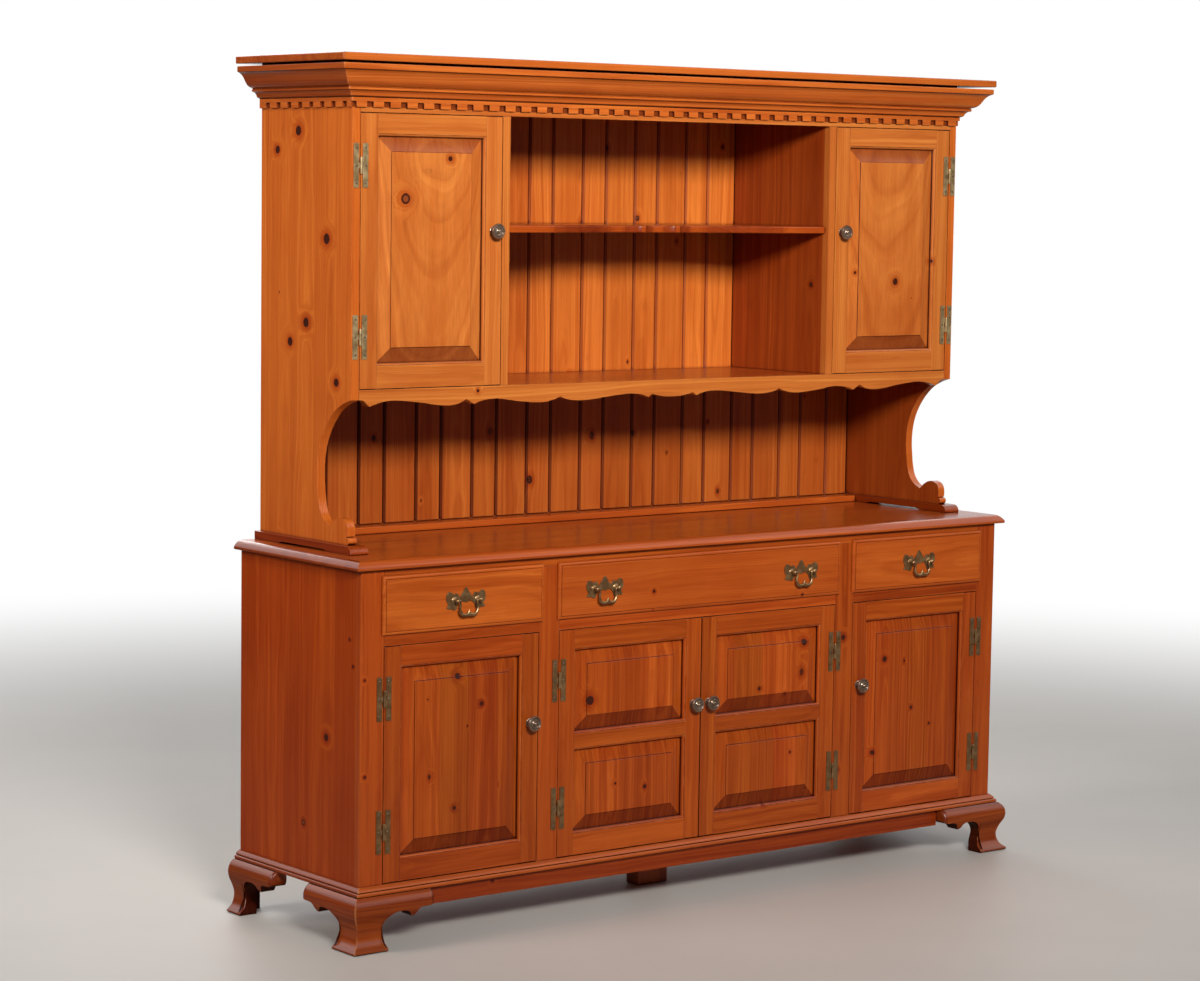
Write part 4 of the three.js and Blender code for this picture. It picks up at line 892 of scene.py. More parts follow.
def baseCase():
    sizes = {"edge": 1.0, "railEdge": 0.5, "boards": 98, "runnerWidth": 18, "runnerHeight": 16,
             "innerEdge": 0.8, "skirtHalf": 742.7, "partition": 18, "supportHalf": 43, "supportDepth": 44,
             "supportBack": 160, "supportEdge": 2.5}
    front, rear, edge, railEdge = baseFront, baseFrameRear, sizes["edge"], sizes["railEdge"]
    skirt = sizes["skirtHalf"]
    piece = newPiece()
    for side in (-1, 1):
        xs = sorted((side * outerEdge, side * baseHalf))
        addPart(piece, boxPart(*xs, front, rear, caseBottom, caseTop), "z", edge)
        xs = sorted((side * centreEdge, side * outerInner))
        addPart(piece, boxPart(*xs, front, rear, doorBottom, drawerTop), "z", railEdge)
        xs = sorted((side * outerInner, side * outerEdge))
        addPart(piece, boxPart(*xs, front, rear, doorTop, drawerBottom), "x", railEdge)
    addPart(piece, boxPart(-outerEdge, outerEdge, front, rear, drawerTop, caseTop), "x", railEdge)
    addPart(piece, boxPart(-centreEdge, centreEdge, front, rear, doorTop, drawerBottom), "x", railEdge)
    # The skirt rail is darkened all over as painted shade under the moulding
    addPart(piece, boxPart(-skirt, skirt, front, rear, baseFrame[4], doorBottom), "x", edge,
            stainAndShade=lambda face: 1.0)
    addPart(piece, boxPart(-outerEdge, -skirt, front, rear, caseBottom, doorBottom), "x", edge)
    addPart(piece, boxPart(skirt, outerEdge, front, rear, caseBottom, doorBottom), "x", edge)
    finishPiece(piece, "base_face_frame", "base")

    runnerBottom = drawerBottom - sizes["runnerHeight"]
    inner = baseHalf - (rear - front)
    for side, word in bothSides:
        piece = newPiece()
        xs = sorted((side * inner, side * baseHalf))
        addPart(piece, boxPart(*xs, rear, caseRear, caseBottom, caseTop), "z", edge, glued=sizes["boards"])
        xs = sorted((side * (outerEdge - sizes["runnerWidth"]), side * inner))
        addPart(piece, boxPart(*xs, rear, backFront, runnerBottom, drawerBottom), "y", sizes["innerEdge"], 1,
                material=1)
        finishPiece(piece, f"base_{word}_side", "baseSide", "raw")
    for name in ("base_left_partition", "base_right_partition"):
        box = edgesOf(name)
        left, right = ((box[0] + box[1] + way * sizes["partition"]) / 2 for way in (-1, 1))
        piece = newPiece()
        addPart(piece, boxPart(left, right, *box[2:]), "z", sizes["innerEdge"], 1, glued=sizes["boards"])
        for xs in ((box[0], left), (right, box[1])):
            addPart(piece, boxPart(*xs, *box[2:4], runnerBottom, drawerBottom), "y", sizes["innerEdge"], 1)
        finishPiece(piece, name, "raw")
    box = edgesOf("base_bottom")
    piece = newPiece()
    addPart(piece, boxPart(*box[:4], caseBottom, box[5]), "x", sizes["innerEdge"], 1, glued=sizes["boards"])
    finishPiece(piece, "base_bottom", "inside")
    half = sizes["supportHalf"]
    ys = [front + sizes["supportBack"] + depth for depth in (0, sizes["supportDepth"])]
    piece = newPiece()
    addPart(piece, boxPart(-half, half, *ys, 0, caseBottom), "z", sizes["supportEdge"], 3)
    finishPiece(piece, "centre_support", "inside", replaced=())
    piece = newPiece()
    addPart(piece, boxPart(*edgesOf("base_back")), "z", railEdge, 1, glued=sizes["boards"])
    finishPiece(piece, "base_back", "raw")


skirtMouldShares = [(0, 0), (0.86, 0), (0.96, 0.04), (1, 0.14), (1, 0.26), (0.95, 0.36), (0.86, 0.42),
                    (0.78, 0.43), (0.62, 0.44), (0.62, 0.50), (0.74, 0.51), (0.74, 0.58), (0.66, 0.68),
                    (0.54, 0.77), (0.42, 0.85), (0.34, 0.90), (0.28, 0.93), (0.28, 1), (0, 1)]


def baseMoulding():
    sizes = {"quirk": (0.432, 0.508), "quirkShade": 1.85, "returnShade": 0.9}
    _, x1, _, _, z0, z1 = edgesOf("base_moulding")
    reach, tall = x1 - baseHalf, z1 - z0

    # Painted shade: near-black in the quirk and darker on the side returns
    def paintQuirkShade(face):
        low, high = sizes["quirk"]
        if low < (face.calc_center_median().z - z0) / tall < high:
            return sizes["quirkShade"]
        return sizes["returnShade"] if abs(face.normal.x) > 0.3 else None

    piece = newPiece()
    profile = [(reach * r, z0 + tall * h) for r, h in skirtMouldShares]
    moulding(piece, profile, baseHalf, baseFront, caseRear, 0, stainAndShade=paintQuirkShade)
    finishPiece(piece, "base_moulding", "drawer")


toeShares = [(0.94, 0), (0.99, 0.006), (1, 0.015), (1, 0.036)]
footShares = [(0.985, 0.052), (0.86, 0.08), (0.68, 0.125), (0.535, 0.205), (0.465, 0.29), (0.465, 0.38),
              (0.63, 0.53), (0.845, 0.66), (0.915, 0.79), (0.835, 0.89), (0.71, 0.95), (0.5, 1)]
flareShares = [(0.06, 0), (0.065, 0.06), (0.055, 0.15), (0.03, 0.24), (0.012, 0.32)]
flareEnd = (0.004, 0.345)
legShares = [(0.01, 0.33), (0.015, 0.42), (0.047, 0.525), (0.13, 0.62), (0.25, 0.68), (0.39, 0.69)]
cuspShares = [(0.39, 0.69), (0.46, 0.675), (0.51, 0.64), (0.547, 0.578), (0.575, 0.56), (0.61, 0.557)]
wingEndShares = [(0.61, 0.557), (0.655, 0.62), (0.69, 0.68), (0.74, 0.705), (0.86, 0.715), (0.95, 0.725),
                 (0.985, 0.76), (1, 0.82), (1, 0.93)]
footSizes = {"toe": 34, "wing": 172, "leg": 44, "legStep": 1.2, "flareEdge": (0.8, 1.2), "inner": 10,
             "rearReturn": 110, "rearWaist": 12, "rearShares": (0.78, 0.52, 0.3), "round": 1.4, "endRound": 9,
             "rows": 44, "bottomShade": 1.85, "endStain": 0.5, "innerShade": 1.8}


def wingParts(toWorld, mitred):
    # One bracket seen from its outer face: u runs along the case from its corner, z upward, t outward.
    s = footSizes
    tall, leg = caseBottom, s["leg"]
    outer = [(s["toe"] * a, tall * b) for a, b in toeShares]
    outer += curve([(s["toe"] * a, tall * b) for a, b in footShares], 6)

    def reachAt(z):
        for (r0, z0), (r1, z1) in zip(outer, outer[1:]):
            if z0 <= z <= z1:
                return r0 + (r1 - r0) * (z - z0) / max(z1 - z0, 1e-6)
        return outer[-1][0]

    def spots(shares):
        return [(leg + (s["wing"] - leg) * a, tall * b) for a, b in shares]

    def tuck(radius, distance):
        past = max(0.0, 1 - distance / radius)
        return radius * (1 - math.sqrt(max(0.0, 1 - past * past)))

    # The leg is narrowest in the middle: its edge below that is a second, narrow run of rings.
    lower = [(0, 0), (leg + s["legStep"], 0)]
    for shares in (legShares, cuspShares, wingEndShares):
        lower += curve(spots(shares), 4)[1:]
    rings = []
    for u, bottom in lower:
        pull = tuck(s["endRound"], s["wing"] - u)
        levels = [bottom + (tall - bottom) * k / s["rows"] for k in range(s["rows"] + 1)]
        outside = [(z, reachAt(z) - tuck(s["round"], z - bottom) - pull) for z in levels]
        corner = u == 0 and mitred
        ring = [toWorld(-r if corner else u, z, r) for z, r in outside]
        ring += [toWorld(s["inner"] if corner else u, z, -s["inner"]) for z, r in reversed(outside)]
        rings.append(ring)
    # The flare at the foot of the leg, level by level
    flare = []
    side, deep = s["flareEdge"]
    for edge, z in spots([*curve(flareShares, 4), flareEnd]):
        reach = reachAt(z) - s["round"] / 2
        flare.append([toWorld(leg, z, reach), toWorld(edge - side, z, reach), toWorld(edge, z, reach - deep),
                      toWorld(edge, z, -s["inner"]), toWorld(leg, z, -s["inner"])])
    return ringsPart(rings), ringsPart(flare)


def feet():
    s = footSizes
    for end, side, word in [(end, *pair) for end in ("front", "rear") for pair in bothSides]:
        piece = newPiece()
        atFront = end == "front"
        if atFront:
            runs = [("x", Vector((0, -1, 0)), lambda u, z, t: (side * (baseHalf - u), baseFront - t, z)),
                    ("y", Vector((side, 0, 0)), lambda u, z, t: (side * (baseHalf + t), baseFront + u, z))]
        else:
            runs = [("y", Vector((side, 0, 0)), lambda u, z, t: (side * (baseHalf + t), caseRear - u, z))]
        for along, outward, toWorld in runs:
            tip = Vector(toWorld(s["wing"] - s["endRound"], 0, 0))
            onward = tip - Vector(toWorld(0, 0, 0))

            # Painted shade on the undersides and inner faces; the wing ends take a light end grain
            def paintFootShade(face):
                if face.normal.z < -0.5:
                    return s["bottomShade"]
                if face.normal.dot(outward) > 0.25:
                    return None
                pastTip = (face.calc_center_median() - tip).dot(onward) > 0
                atEnd = pastTip and face.normal.dot(onward.normalized()) > -0.3
                return s["endStain" if atEnd else "innerShade"]

            for part in wingParts(toWorld, atFront):
                addPart(piece, part, along, 0, stainAndShade=paintFootShade)
        if not atFront:
            inner, leg, wing = (side * (baseHalf - s[key]) for key in ("inner", "leg", "rearReturn"))
            high, waist, low = (caseBottom * share for share in s["rearShares"])
            outline = [(inner, 0), (inner, caseBottom), (wing, caseBottom), (wing, high),
                       (leg - side * s["rearWaist"], waist), (leg, low), (leg, 0)]
            # The rear block is darkened all over as painted shade
            addPart(piece, sawnPart(outline, "y", backFront, caseRear), "x", 1.0,
                    stainAndShade=lambda face: s["innerShade"])
        finishPiece(piece, f"{end}_{word}_foot", "foot")


print("case pieces follow")
topBoard()
cornice()
upperSides()
upperFaceFrame()
upperInside()
backBoards()
shoes()
baseTop()
baseCase()
baseMoulding()
feet()
print("case made")


# Doors

doorSizes = {"thick": 20, "stile": 42, "bottomRail": 48, "middleRail": 32, "bevel": 36, "fieldDepth": 1.6,
             "fieldStep": 1.8, "rimDepth": 12.5, "panelRear": 17, "edge": 0.9, "jointEdge": 0.35,
             "lean": 0.03, "depthShare": 0.25, "strips": (62, 84), "sunk": 4}
# Darkening on the doors: the sticking's quirks, the field's step and the bottom bevels are painted shade, the
# upper doors' top bevels are darker end grain, and the base doors' top bevels are kept light as a painted
# sheen
doorStainsAndShade = {"stickRear": 1.8, "stickFront": 1.3, "step": 1.75, "bottomBevel": 1.25, "upperTopBevel": 1.05,
              "baseTopBevel": 0.1}
stickProfile = [(-0.3, 1.5), (0.3, 1.3), (1.2, 1.35), (2.2, 1.75), (3.1, 2.5), (3.9, 3.6), (4.5, 5.0),
                (4.8, 6.6), (5.5, 7.2), (5.5, 12.4), (-0.3, 12.4)]
hingeSizes = {"leafWidth": 13, "leafHeight": 92, "leafThick": 2, "standOff": 5, "barrelRadius": 3.2,
              "barrelHeight": 34, "pin": 1.5, "pinTip": 0.8, "clearance": 0.3, "knuckleGap": 0.15,
              "screwSpread": 0.40, "screwRadius": 2.6}
screwShares = [(1, 0), (1, 0.15), (0.8, 0.5), (0.35, 0.68)]
knobSizes = {"radius": 17, "length": 26}
knobShares = [(0.60, 0), (0.60, 0.05), (0.50, 0.09), (0.36, 0.12), (0.30, 0.2), (0.29, 0.32), (0.36, 0.42),
              (0.6, 0.48), (0.86, 0.53), (0.97, 0.6), (1.0, 0.67), (0.97, 0.75), (0.89, 0.82), (0.80, 0.83),
              (0.75, 0.78), (0.70, 0.75), (0.62, 0.76), (0.58, 0.8), (0.52, 0.83), (0.46, 0.82), (0.42, 0.78),
              (0.34, 0.765), (0.28, 0.79), (0.24, 0.86), (0.17, 0.91), (0.08, 0.93), (0.01, 0.935)]


def rimStrips(piece, x0, x1, z0, z1, y):
    # Four mitred strips of sticking around an opening, with painted shade in their quirks
    def corner(sx, sz, inset, deep):
        return ((x0 + inset) if sx < 0 else (x1 - inset), y + deep, (z0 + inset) if sz < 0 else (z1 - inset))

    def paintQuirkShade(face):
        deep = (face.calc_center_median().y - y) / doorSizes["rimDepth"]
        return doorStainsAndShade["stickRear"] if deep > 0.53 else doorStainsAndShade["stickFront"] if deep < 0.11 else None

    for ends, along in ((((-1, -1), (1, -1)), "x"), (((-1, 1), (1, 1)), "x"), (((-1, -1), (-1, 1)), "z"),
                        (((1, -1), (1, 1)), "z")):
        rings = [[corner(sx, sz, inset, deep) for inset, deep in stickProfile] for sx, sz in ends]
        addPart(piece, ringsPart(rings), along, 0, stainAndShade=paintQuirkShade)


def raisedPanel(piece, x0, x1, z0, z1, y, glued, lean):
    d = doorSizes
    topBevelStainAndSheen = doorStainsAndShade["baseTopBevel" if glued else "upperTopBevel"]
    step = d["fieldDepth"] + d["fieldStep"]
    inner = d["bevel"]
    rows = [(-d["sunk"], d["panelRear"]), (-d["sunk"], d["rimDepth"] + 0.4), (0, d["rimDepth"]),
            (inner - 1.4, step + 0.2), (inner - 0.8, step), (inner, d["fieldDepth"] + 0.4),
            (inner + 0.6, d["fieldDepth"])]
    rings = [[(x0 + i, y + deep, z0 + i), (x1 - i, y + deep, z0 + i), (x1 - i, y + deep, z1 - i),
              (x0 + i, y + deep, z1 - i)] for i, deep in rows]

    # Painted shade on the step and the bottom bevels; the top bevels take end grain on upper doors and a
    # light painted sheen on base doors
    def paintPanelShade(face):
        x, z = face.calc_center_median().xz
        inset = min(x - x0, x1 - x, z - z0, z1 - z)
        if inner - 1.1 < inset < inner or inset < 0:
            return doorStainsAndShade["step"]
        if face.normal.z < -0.15:
            return doorStainsAndShade["bottomBevel"]
        return topBevelStainAndSheen if face.normal.z > 0.15 else None

    addPart(piece, ringsPart(rings), "z", 0, glued=glued, crease=9, stainAndShade=paintPanelShade, lean=lean,
            depthShare=d["depthShare"])


def leaf(piece, x, y, z, side, outerKnuckles):
    s = hingeSizes
    inner, outer = x + side * s["standOff"], x + side * (s["standOff"] + s["leafWidth"])
    half, front = s["leafHeight"] / 2, y - s["leafThick"]
    addPart(piece, boxPart(*sorted((inner, outer)), front, y, z - half, z + half), edge=0.5)
    knuckle = s["barrelHeight"] / 3
    barrelY = y - s["barrelRadius"]
    for low, high in [(-1.5, -0.5), (0.5, 1.5)] if outerKnuckles else [(-0.5, 0.5)]:
        z0, z1 = z + low * knuckle + s["knuckleGap"], z + high * knuckle - s["knuckleGap"]
        addPart(piece, rodPart(x, barrelY, z0, z1, s["barrelRadius"] - s["clearance"], 20), edge=0.4)
        xs = sorted((x, inner + side * 0.5))
        addPart(piece, boxPart(*xs, front, y - s["clearance"], z0, z1), edge=0.2, rounds=1)
    if outerKnuckles:
        tip = s["barrelHeight"] / 2 + s["pinTip"]
        addPart(piece, rodPart(x, barrelY, z - tip, z + tip, s["pin"], 16), edge=0.4)
    for row in (-1, 0, 1):
        high = z + row * s["leafHeight"] * s["screwSpread"]
        screw = [(s["screwRadius"] * share, reach) for share, reach in screwShares]
        addPart(piece, turnedPart(screw, (inner + outer) / 2, front, high, 16), edge=0, material=1)


def door(name, x0, x1, z0, z1, y, hingeSide, middleRail=False):
    d = doorSizes
    body = f"{name}_door"
    upper = name.startswith("upper")
    left, right, low, high = x0 + doorGap, x1 - doorGap, z0 + doorGap, z1 - doorGap
    inLeft, inRight = left + d["stile"], right - d["stile"]
    inLow, inHigh = low + d["bottomRail"], high - d["stile"]
    rear = y + d["thick"]
    piece = newPiece()
    for xs in ((left, inLeft), (inRight, right)):
        addPart(piece, boxPart(*xs, y, rear, low, high), "z", d["edge"])
    rails = [(low, inLow), (inHigh, high)]
    openings = [(inLow, inHigh)]
    if middleRail:
        middle, half = (inLow + inHigh) / 2, d["middleRail"] / 2
        rails.append((middle - half, middle + half))
        openings = [(inLow, middle - half), (middle + half, inHigh)]
    for zs in rails:
        addPart(piece, boxPart(inLeft, inRight, y, rear, *zs), "x", d["jointEdge"], 1)
    for bottom, top in openings:
        rimStrips(piece, inLeft, inRight, bottom, top, y)
        glued, lean = (None, d["lean"]) if upper else (chance.uniform(*d["strips"]), 0)
        raisedPanel(piece, inLeft + 1, inRight - 1, bottom + 1, top - 1, y, glued, lean)
    finishPiece(piece, body, "upper" if upper else "base", body=body)

    edge = x0 + doorGap / 2 if hingeSide < 0 else x1 - doorGap / 2
    # The upper hinges take a paler brass than the base hinges, partly as painted light of the better lit
    # upper stage
    hinge = "paleLitBrass" if upper else "agedBrass"
    doorLeaf = newPiece()
    for which in ("lower", "upper"):
        node = f"{name}_{which}_hinge"
        z = sum(edgesOf(node)[4:]) / 2
        frameLeaf = newPiece()
        leaf(frameLeaf, edge, y, z, hingeSide, False)
        finishPiece(frameLeaf, node, hinge, "screwBrass", slot="brass")
        leaf(doorLeaf, edge, y, z, -hingeSide, True)
    finishPiece(doorLeaf, f"{body}_leaves", hinge, "screwBrass", body=body, replaced=(), slot="brass")

    box = edgesOf(f"{name}_knob")
    knob = newPiece()
    profile = [(r * knobSizes["radius"], t * knobSizes["length"]) for r, t in knobShares]
    addPart(knob, turnedPart(profile, (box[0] + box[1]) / 2, y, (box[4] + box[5]) / 2, 48), edge=0)
    finishPiece(knob, f"{name}_knob", "knobBrass", body=body, slot="brass")


upperZ, baseZ = (deckTop, upperDoorTop), (doorBottom, doorTop)
door("upper_left", -upperInner, -partitionBox[1], *upperZ, upperFront, -1)
door("upper_right", partitionBox[1], upperInner, *upperZ, upperFront, 1)
door("base_left", -outerEdge, -outerInner, *baseZ, baseFront, -1)
door("centre_left", -centreEdge, 0, *baseZ, baseFront, -1, True)
door("centre_right", 0, centreEdge, *baseZ, baseFront, 1, True)
door("base_right", outerInner, outerEdge, *baseZ, baseFront, 1)
print("doors made")


# Drawers and pulls

drawerSizes = {"lipThick": 8, "round": 6.5, "roundSteps": 6, "seat": 0.3, "frontThick": 20, "side": 12,
               "bottom": 7, "bottomRise": 8, "drop": 14, "clear": 1.5, "strips": 95, "quirkWidth": 1.3,
               "quirkShade": 1.3, "plugEdge": 0.6, "boxEdge": 1.0, "floorEdge": 0.3}


def drawer(name):
    s = drawerSizes
    box = edgesOf(name)
    x0, x1, z0, z1 = box[0] + drawerLip, box[1] - drawerLip, box[4] + drawerLip, box[5] - drawerLip
    front, rear, edge = box[2], box[3], s["round"]
    rows = [(0, s["lipThick"]), (0, edge - 1.2)]
    for i in range(s["roundSteps"] + 1):
        turn = math.pi / 2 * i / s["roundSteps"]
        rows.append((edge * (1 - math.cos(turn)), 0.9 + (edge - 2.1) * (1 - math.sin(turn))))
    rows += [(edge + 0.3, 1.2), (edge + 0.9, 1.2), (edge + 1.4, 0.3), (edge + 2.2, 0)]
    rings = [[(box[0] + i, front + deep, box[4] + i), (box[1] - i, front + deep, box[4] + i),
              (box[1] - i, front + deep, box[5] - i), (box[0] + i, front + deep, box[5] - i)]
             for i, deep in rows]

    # Painted shade in the quirk around the lip
    def paintQuirkShade(face):
        middle = face.calc_center_median()
        inset = min(middle.x - box[0], box[1] - middle.x, middle.z - box[4], box[5] - middle.z)
        return s["quirkShade"] if edge < inset < edge + s["quirkWidth"] else 0.0

    piece = newPiece()
    addPart(piece, ringsPart(rings), "x", 0, stainAndShade=paintQuirkShade)
    plugRear = baseFront + s["frontThick"] - s["lipThick"]
    top, bottom = z1 - s["drop"], z0 + s["seat"]
    left, right = x0 + s["clear"], x1 - s["clear"]
    inLeft, inRight, inRear = left + s["side"], right - s["side"], rear - s["side"]
    addPart(piece, boxPart(left, right, front + s["lipThick"], plugRear, bottom, z1 - s["clear"]), "x",
            s["plugEdge"], 1, material=1)
    for xs in ((left, inLeft), (inRight, right)):
        addPart(piece, boxPart(*xs, plugRear, rear, bottom, top), "y", s["boxEdge"], material=1)
    addPart(piece, boxPart(inLeft, inRight, inRear, rear, bottom, top), "x", s["boxEdge"], material=1)
    floor = z0 + s["clear"] + s["bottomRise"]
    addPart(piece, boxPart(inLeft, inRight, plugRear, inRear, floor, floor + s["bottom"]), "y",
            s["floorEdge"], 1, glued=s["strips"], material=1)
    finishPiece(piece, name, "drawer", "raw", body=name)


pullSizes = {"width": 102, "crest": 27, "drop": 21, "thick": 2, "postSpacing": 60, "ball": 5.2,
             "ballTip": 0.2, "reach": 11, "bail": 2.2, "swell": 1.25, "bailDrop": 31, "cusp": 8,
             "cuspHalf": 5.2, "endGap": 0.8, "endReach": 5, "stepDown": 0.6, "flatter": 0.25}
postProfile = [(7.4, 0), (7.4, 0.7), (6.4, 1.5), (4.4, 2.0), (3.4, 2.6), (3.3, 6.0)]
crestShares = [(0, 1), (0.06, 0.89), (0.14, 0.67), (0.235, 0.43), (0.33, 0.17)]
upperWingShares = [(0.33, 0.17), (0.37, 0.36), (0.43, 0.54), (0.52, 0.55), (0.62, 0.46)]
upperTipShares = [(0.62, 0.46), (0.70, 0.60), (0.80, 0.685), (0.90, 0.65), (0.98, 0.44), (1, 0.18)]
lowerWingShares = [(1, 0.14), (0.98, -0.04), (0.93, -0.24), (0.885, -0.43), (0.95, -0.62), (0.96, -0.78),
                   (0.88, -0.85), (0.76, -0.85), (0.68, -0.94), (0.59, -1), (0.51, -0.93), (0.46, -0.67),
                   (0.42, -0.42), (0.33, -0.26), (0.235, -0.10), (0.15, -0.19), (0, -0.27)]
bailShares = [(1.01, 0.3), (1.06, 0.56), (0.98, 0.78), (0.78, 0.94), (0.5, 1), (0.25, 0.97), (0, 0.97)]


def pull(name, drawerName):
    s = pullSizes
    box = edgesOf(f"{name}_pull_plate")
    x = (box[0] + box[1]) / 2
    rear = box[3]
    z = box[5] - s["crest"]
    face = rear - s["thick"]
    half = []
    for shares in (crestShares, upperWingShares, upperTipShares, lowerWingShares):
        half += curve([(u * s["width"] / 2, v * s["crest" if v > 0 else "drop"]) for u, v in shares], 4)
    outline = [(x + u, z + v) for u, v in half] + [(x - u, z + v) for u, v in half[-2:0:-1]]
    plate = newPiece()
    addPart(plate, sawnPart(outline, "y", face, rear), edge=0.7, corners=50)
    ball = [(s["ball"] * math.sin(turn), -s["ball"] * math.cos(turn)) for turn in turnsOf(32)[1:16]]
    ball = [(s["ballTip"], -s["ball"]), *ball, (s["ballTip"], s["ball"])]
    for side in (-1, 1):
        post = x + side * s["postSpacing"] / 2
        addPart(plate, turnedPart(postProfile, post, face, z, 28), edge=0)
        addPart(plate, turnedPart(ball, post, face - s["reach"], z, 28), edge=0)
    finishPiece(plate, f"{name}_pull_plate", "agedBrass", body=drawerName, slot="brass")

    axisY = face - s["reach"]
    bail, drop = s["bail"], s["bailDrop"]
    arm = s["postSpacing"] / 2 - s["ball"] - s["endGap"] - bail
    side = curve([(arm + bail + s["endReach"], 0), (arm + bail, 0), (arm + bail * 0.3, -bail * 0.35),
                  (arm, -bail - s["stepDown"]), *[(arm * u, -drop * v) for u, v in bailShares]], 5)
    path = side + [(-u, v) for u, v in side[-2::-1]]
    rings = []
    for i, (u, v) in enumerate(path):
        before, after = path[max(i - 1, 0)], path[min(i + 1, len(path) - 1)]
        run = Vector((after[0] - before[0], after[1] - before[1])).normalized()
        low = min(1.0, max(0.0, -v / drop - 0.45) / 0.4)
        thick = bail + s["swell"] * low * low * (3 - 2 * low)
        peak = s["cusp"] * max(0.0, 1 - abs(u) / s["cuspHalf"]) ** 1.4 if v < -drop * 0.8 else 0.0
        ring = []
        for turn in turnsOf(16):
            across = run.x * math.cos(turn)
            deep = thick * (1 - s["flatter"] * low)
            ring.append((x + u - run.y * thick * math.cos(turn), axisY - deep * math.sin(turn),
                         z + v + thick * across + peak * max(0.0, across)))
        rings.append(ring)
    handle = newPiece()
    addPart(handle, ringsPart(rings), edge=0)
    finishPiece(handle, f"{name}_bail", "bailBrass", body=f"{name}_bail", slot="brass")


for name in ("left_drawer", "centre_drawer", "right_drawer"):
    drawer(name)
for name in ("left_drawer", "centre_drawer_left", "centre_drawer_right", "right_drawer"):
    pull(name, "centre_drawer" if name.startswith("centre") else name)
print("drawers and pulls made")


# Floor, background and lamps

white = (1, 1, 1, 1)
stageLook = {"floor": (0.62, 0.59, 0.555, 1), "floorTint": (0.6014, 0.5723, 0.53835, 1),
             "floorRoughness": 0.55, "floorNoise": (3.0, 4.0), "floorStep": (0.3, 0.7),
             "floorGloss": (0.14, 0.10, 0.07, 1),
             "floorLevel": -0.0005, "floorSides": 96, "radius": 14, "whiteSteps": (2.2, 5.5),
             "worldLight": (0.95, 0.97, 1.0, 1), "worldStrength": 0.11}
# The backdrop lies in this direction, and the ceiling's two steps are heights.
roomLook = {"backdrop": (0.62, 0.78, 0), "backdropStep": (0.55, 0.92), "gloss": (0.06, 2.2),
            "ceilingStart": (0.27, 0.38), "ceilingEnd": (0.86, 0.66)}


def makeRoomGroup():
    # For gloss the room is white around the backdrop that the photograph's camera faces, pale overhead and
    # dull on the other sides.
    r = roomLook
    tree, given, out = newGroup("roomBrightness", {"Direction": "Vector"}, {"Brightness": "Color"})
    unit = addNode(tree, "VectorMath", {0: given["Direction"]}, operation="NORMALIZE")[0]
    facing = addNode(tree, "VectorMath", {0: unit, 1: r["backdrop"]}, operation="DOT_PRODUCT")["Value"]
    height = addNode(tree, "SeparateXYZ", {0: unit})[2]
    overhead = calc(tree, "MULTIPLY", softStep(tree, height, *r["ceilingStart"]),
                    softStep(tree, height, *r["ceilingEnd"]))
    bright = calc(tree, "MAXIMUM", softStep(tree, facing, *r["backdropStep"]),
                  ranged(tree, overhead, *r["gloss"]))
    setInputs(tree, out, {"Brightness": addNode(tree, "CombineColor", dict.fromkeys(range(3), bright))[0]})
    return tree


def roomLight(tree, direction, seen):
    # The camera sees a white room, and gloss sees the room group.
    room = addNode(tree, "Group", {"Direction": direction}, node_tree=roomGroup)["Brightness"]
    return blendColor(tree, seen["Is Camera Ray"], room, white)


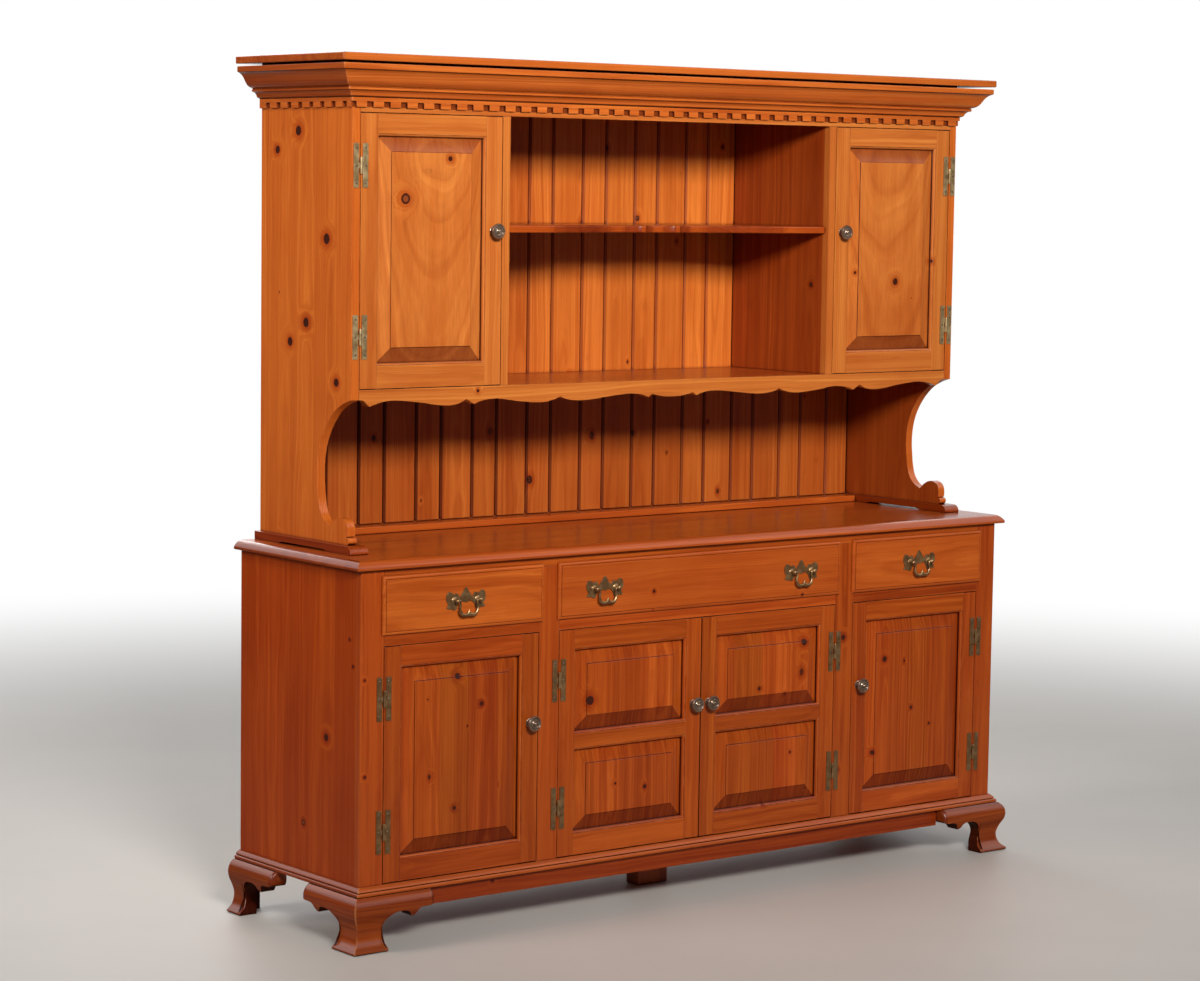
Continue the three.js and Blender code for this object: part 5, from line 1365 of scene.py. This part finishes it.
def makeFloor():
    s = stageLook
    disc = bmesh.new()
    bmesh.ops.create_circle(disc, cap_ends=True, segments=s["floorSides"], radius=s["radius"])
    mesh = bpy.data.meshes.new("floor")
    disc.to_mesh(mesh)
    disc.free()
    floor = bpy.data.objects.new("floor", mesh)
    floor.location = (0, 0, s["floorLevel"])
    scene.collection.objects.link(floor)
    material, tree, bsdf = newMaterial("paleFloor", {"Roughness": s["floorRoughness"]})
    where = addNode(tree, "TexCoord", {})["Object"]
    tint = noise(tree, where, *s["floorNoise"])
    color = blendColor(tree, softStep(tree, tint, *s["floorStep"]), s["floor"], s["floorTint"])
    seen = addNode(tree, "LightPath", {})
    color = blendColor(tree, seen["Is Glossy Ray"], color, s["floorGloss"])
    setInputs(tree, bsdf, {"Base Color": color})
    far = addNode(tree, "VectorMath", {0: where}, operation="LENGTH")["Value"]
    looked = calc(tree, "MAXIMUM", seen["Is Camera Ray"], seen["Is Glossy Ray"])
    factor = calc(tree, "MULTIPLY", softStep(tree, far, *s["whiteSteps"]), looked)
    glow = addNode(tree, "Emission", {"Color": roomLight(tree, where, seen), "Strength": 1.0})[0]
    mixed = addNode(tree, "MixShader", {0: factor, 1: bsdf.outputs[0], 2: glow})[0]
    setInputs(tree, tree.nodes["Material Output"], {"Surface": mixed})
    mesh.materials.append(material)


def makeWorld():
    s = stageLook
    world = bpy.data.worlds.new("world")
    scene.world = world
    world.use_nodes = True
    tree = world.node_tree
    tree.nodes.clear()
    seen = addNode(tree, "LightPath", {})
    shiny = calc(tree, "MAXIMUM", seen["Is Glossy Ray"], seen["Is Transmission Ray"])
    shown = calc(tree, "MAXIMUM", seen["Is Camera Ray"], shiny)
    glow = roomLight(tree, addNode(tree, "TexCoord", {})["Generated"], seen)
    soft = addNode(tree, "Background", {"Color": s["worldLight"], "Strength": s["worldStrength"]})[0]
    clear = addNode(tree, "Background", {"Color": glow, "Strength": 1.0})[0]
    addNode(tree, "OutputWorld", {"Surface": addNode(tree, "MixShader", {0: shown, 1: soft, 2: clear})[0]})


lamps = {
    "key": {"place": (-2.4, -5.2, 3.3), "aim": (0.15, -0.1, 1.68), "size": (1.9, 0.95), "power": 64,
            "spread": 60, "color": (1.0, 0.97, 0.93)},
    "left": {"place": (-3.9, 0.5, 2.5), "aim": (-0.87, 0.0, 1.5), "size": (1.2, 1.2), "power": 17,
             "spread": 90, "color": (1.0, 0.94, 0.87)},
    "back": {"place": (0.8, 4.5, 3.2), "aim": (0, 0, 0.9), "size": (2.5, 2.5), "power": 30,
             "spread": 120, "color": (1, 1, 1)},
}


def makeLamps():
    for name, lamp in lamps.items():
        data = bpy.data.lights.new(name, "AREA")
        data.shape = "RECTANGLE"
        data.size, data.size_y = lamp["size"]
        data.energy = lamp["power"]
        data.color = lamp["color"]
        data.spread = math.radians(lamp["spread"])
        made = bpy.data.objects.new(name, data)
        made.location = lamp["place"]
        made.rotation_euler = (Vector(lamp["aim"]) - made.location).to_track_quat("-Z", "Y").to_euler()
        scene.collection.objects.link(made)


roomGroup = makeRoomGroup()
makeFloor()
makeWorld()
makeLamps()
scene.view_settings.view_transform = "Standard"
print("stage and lamps made")
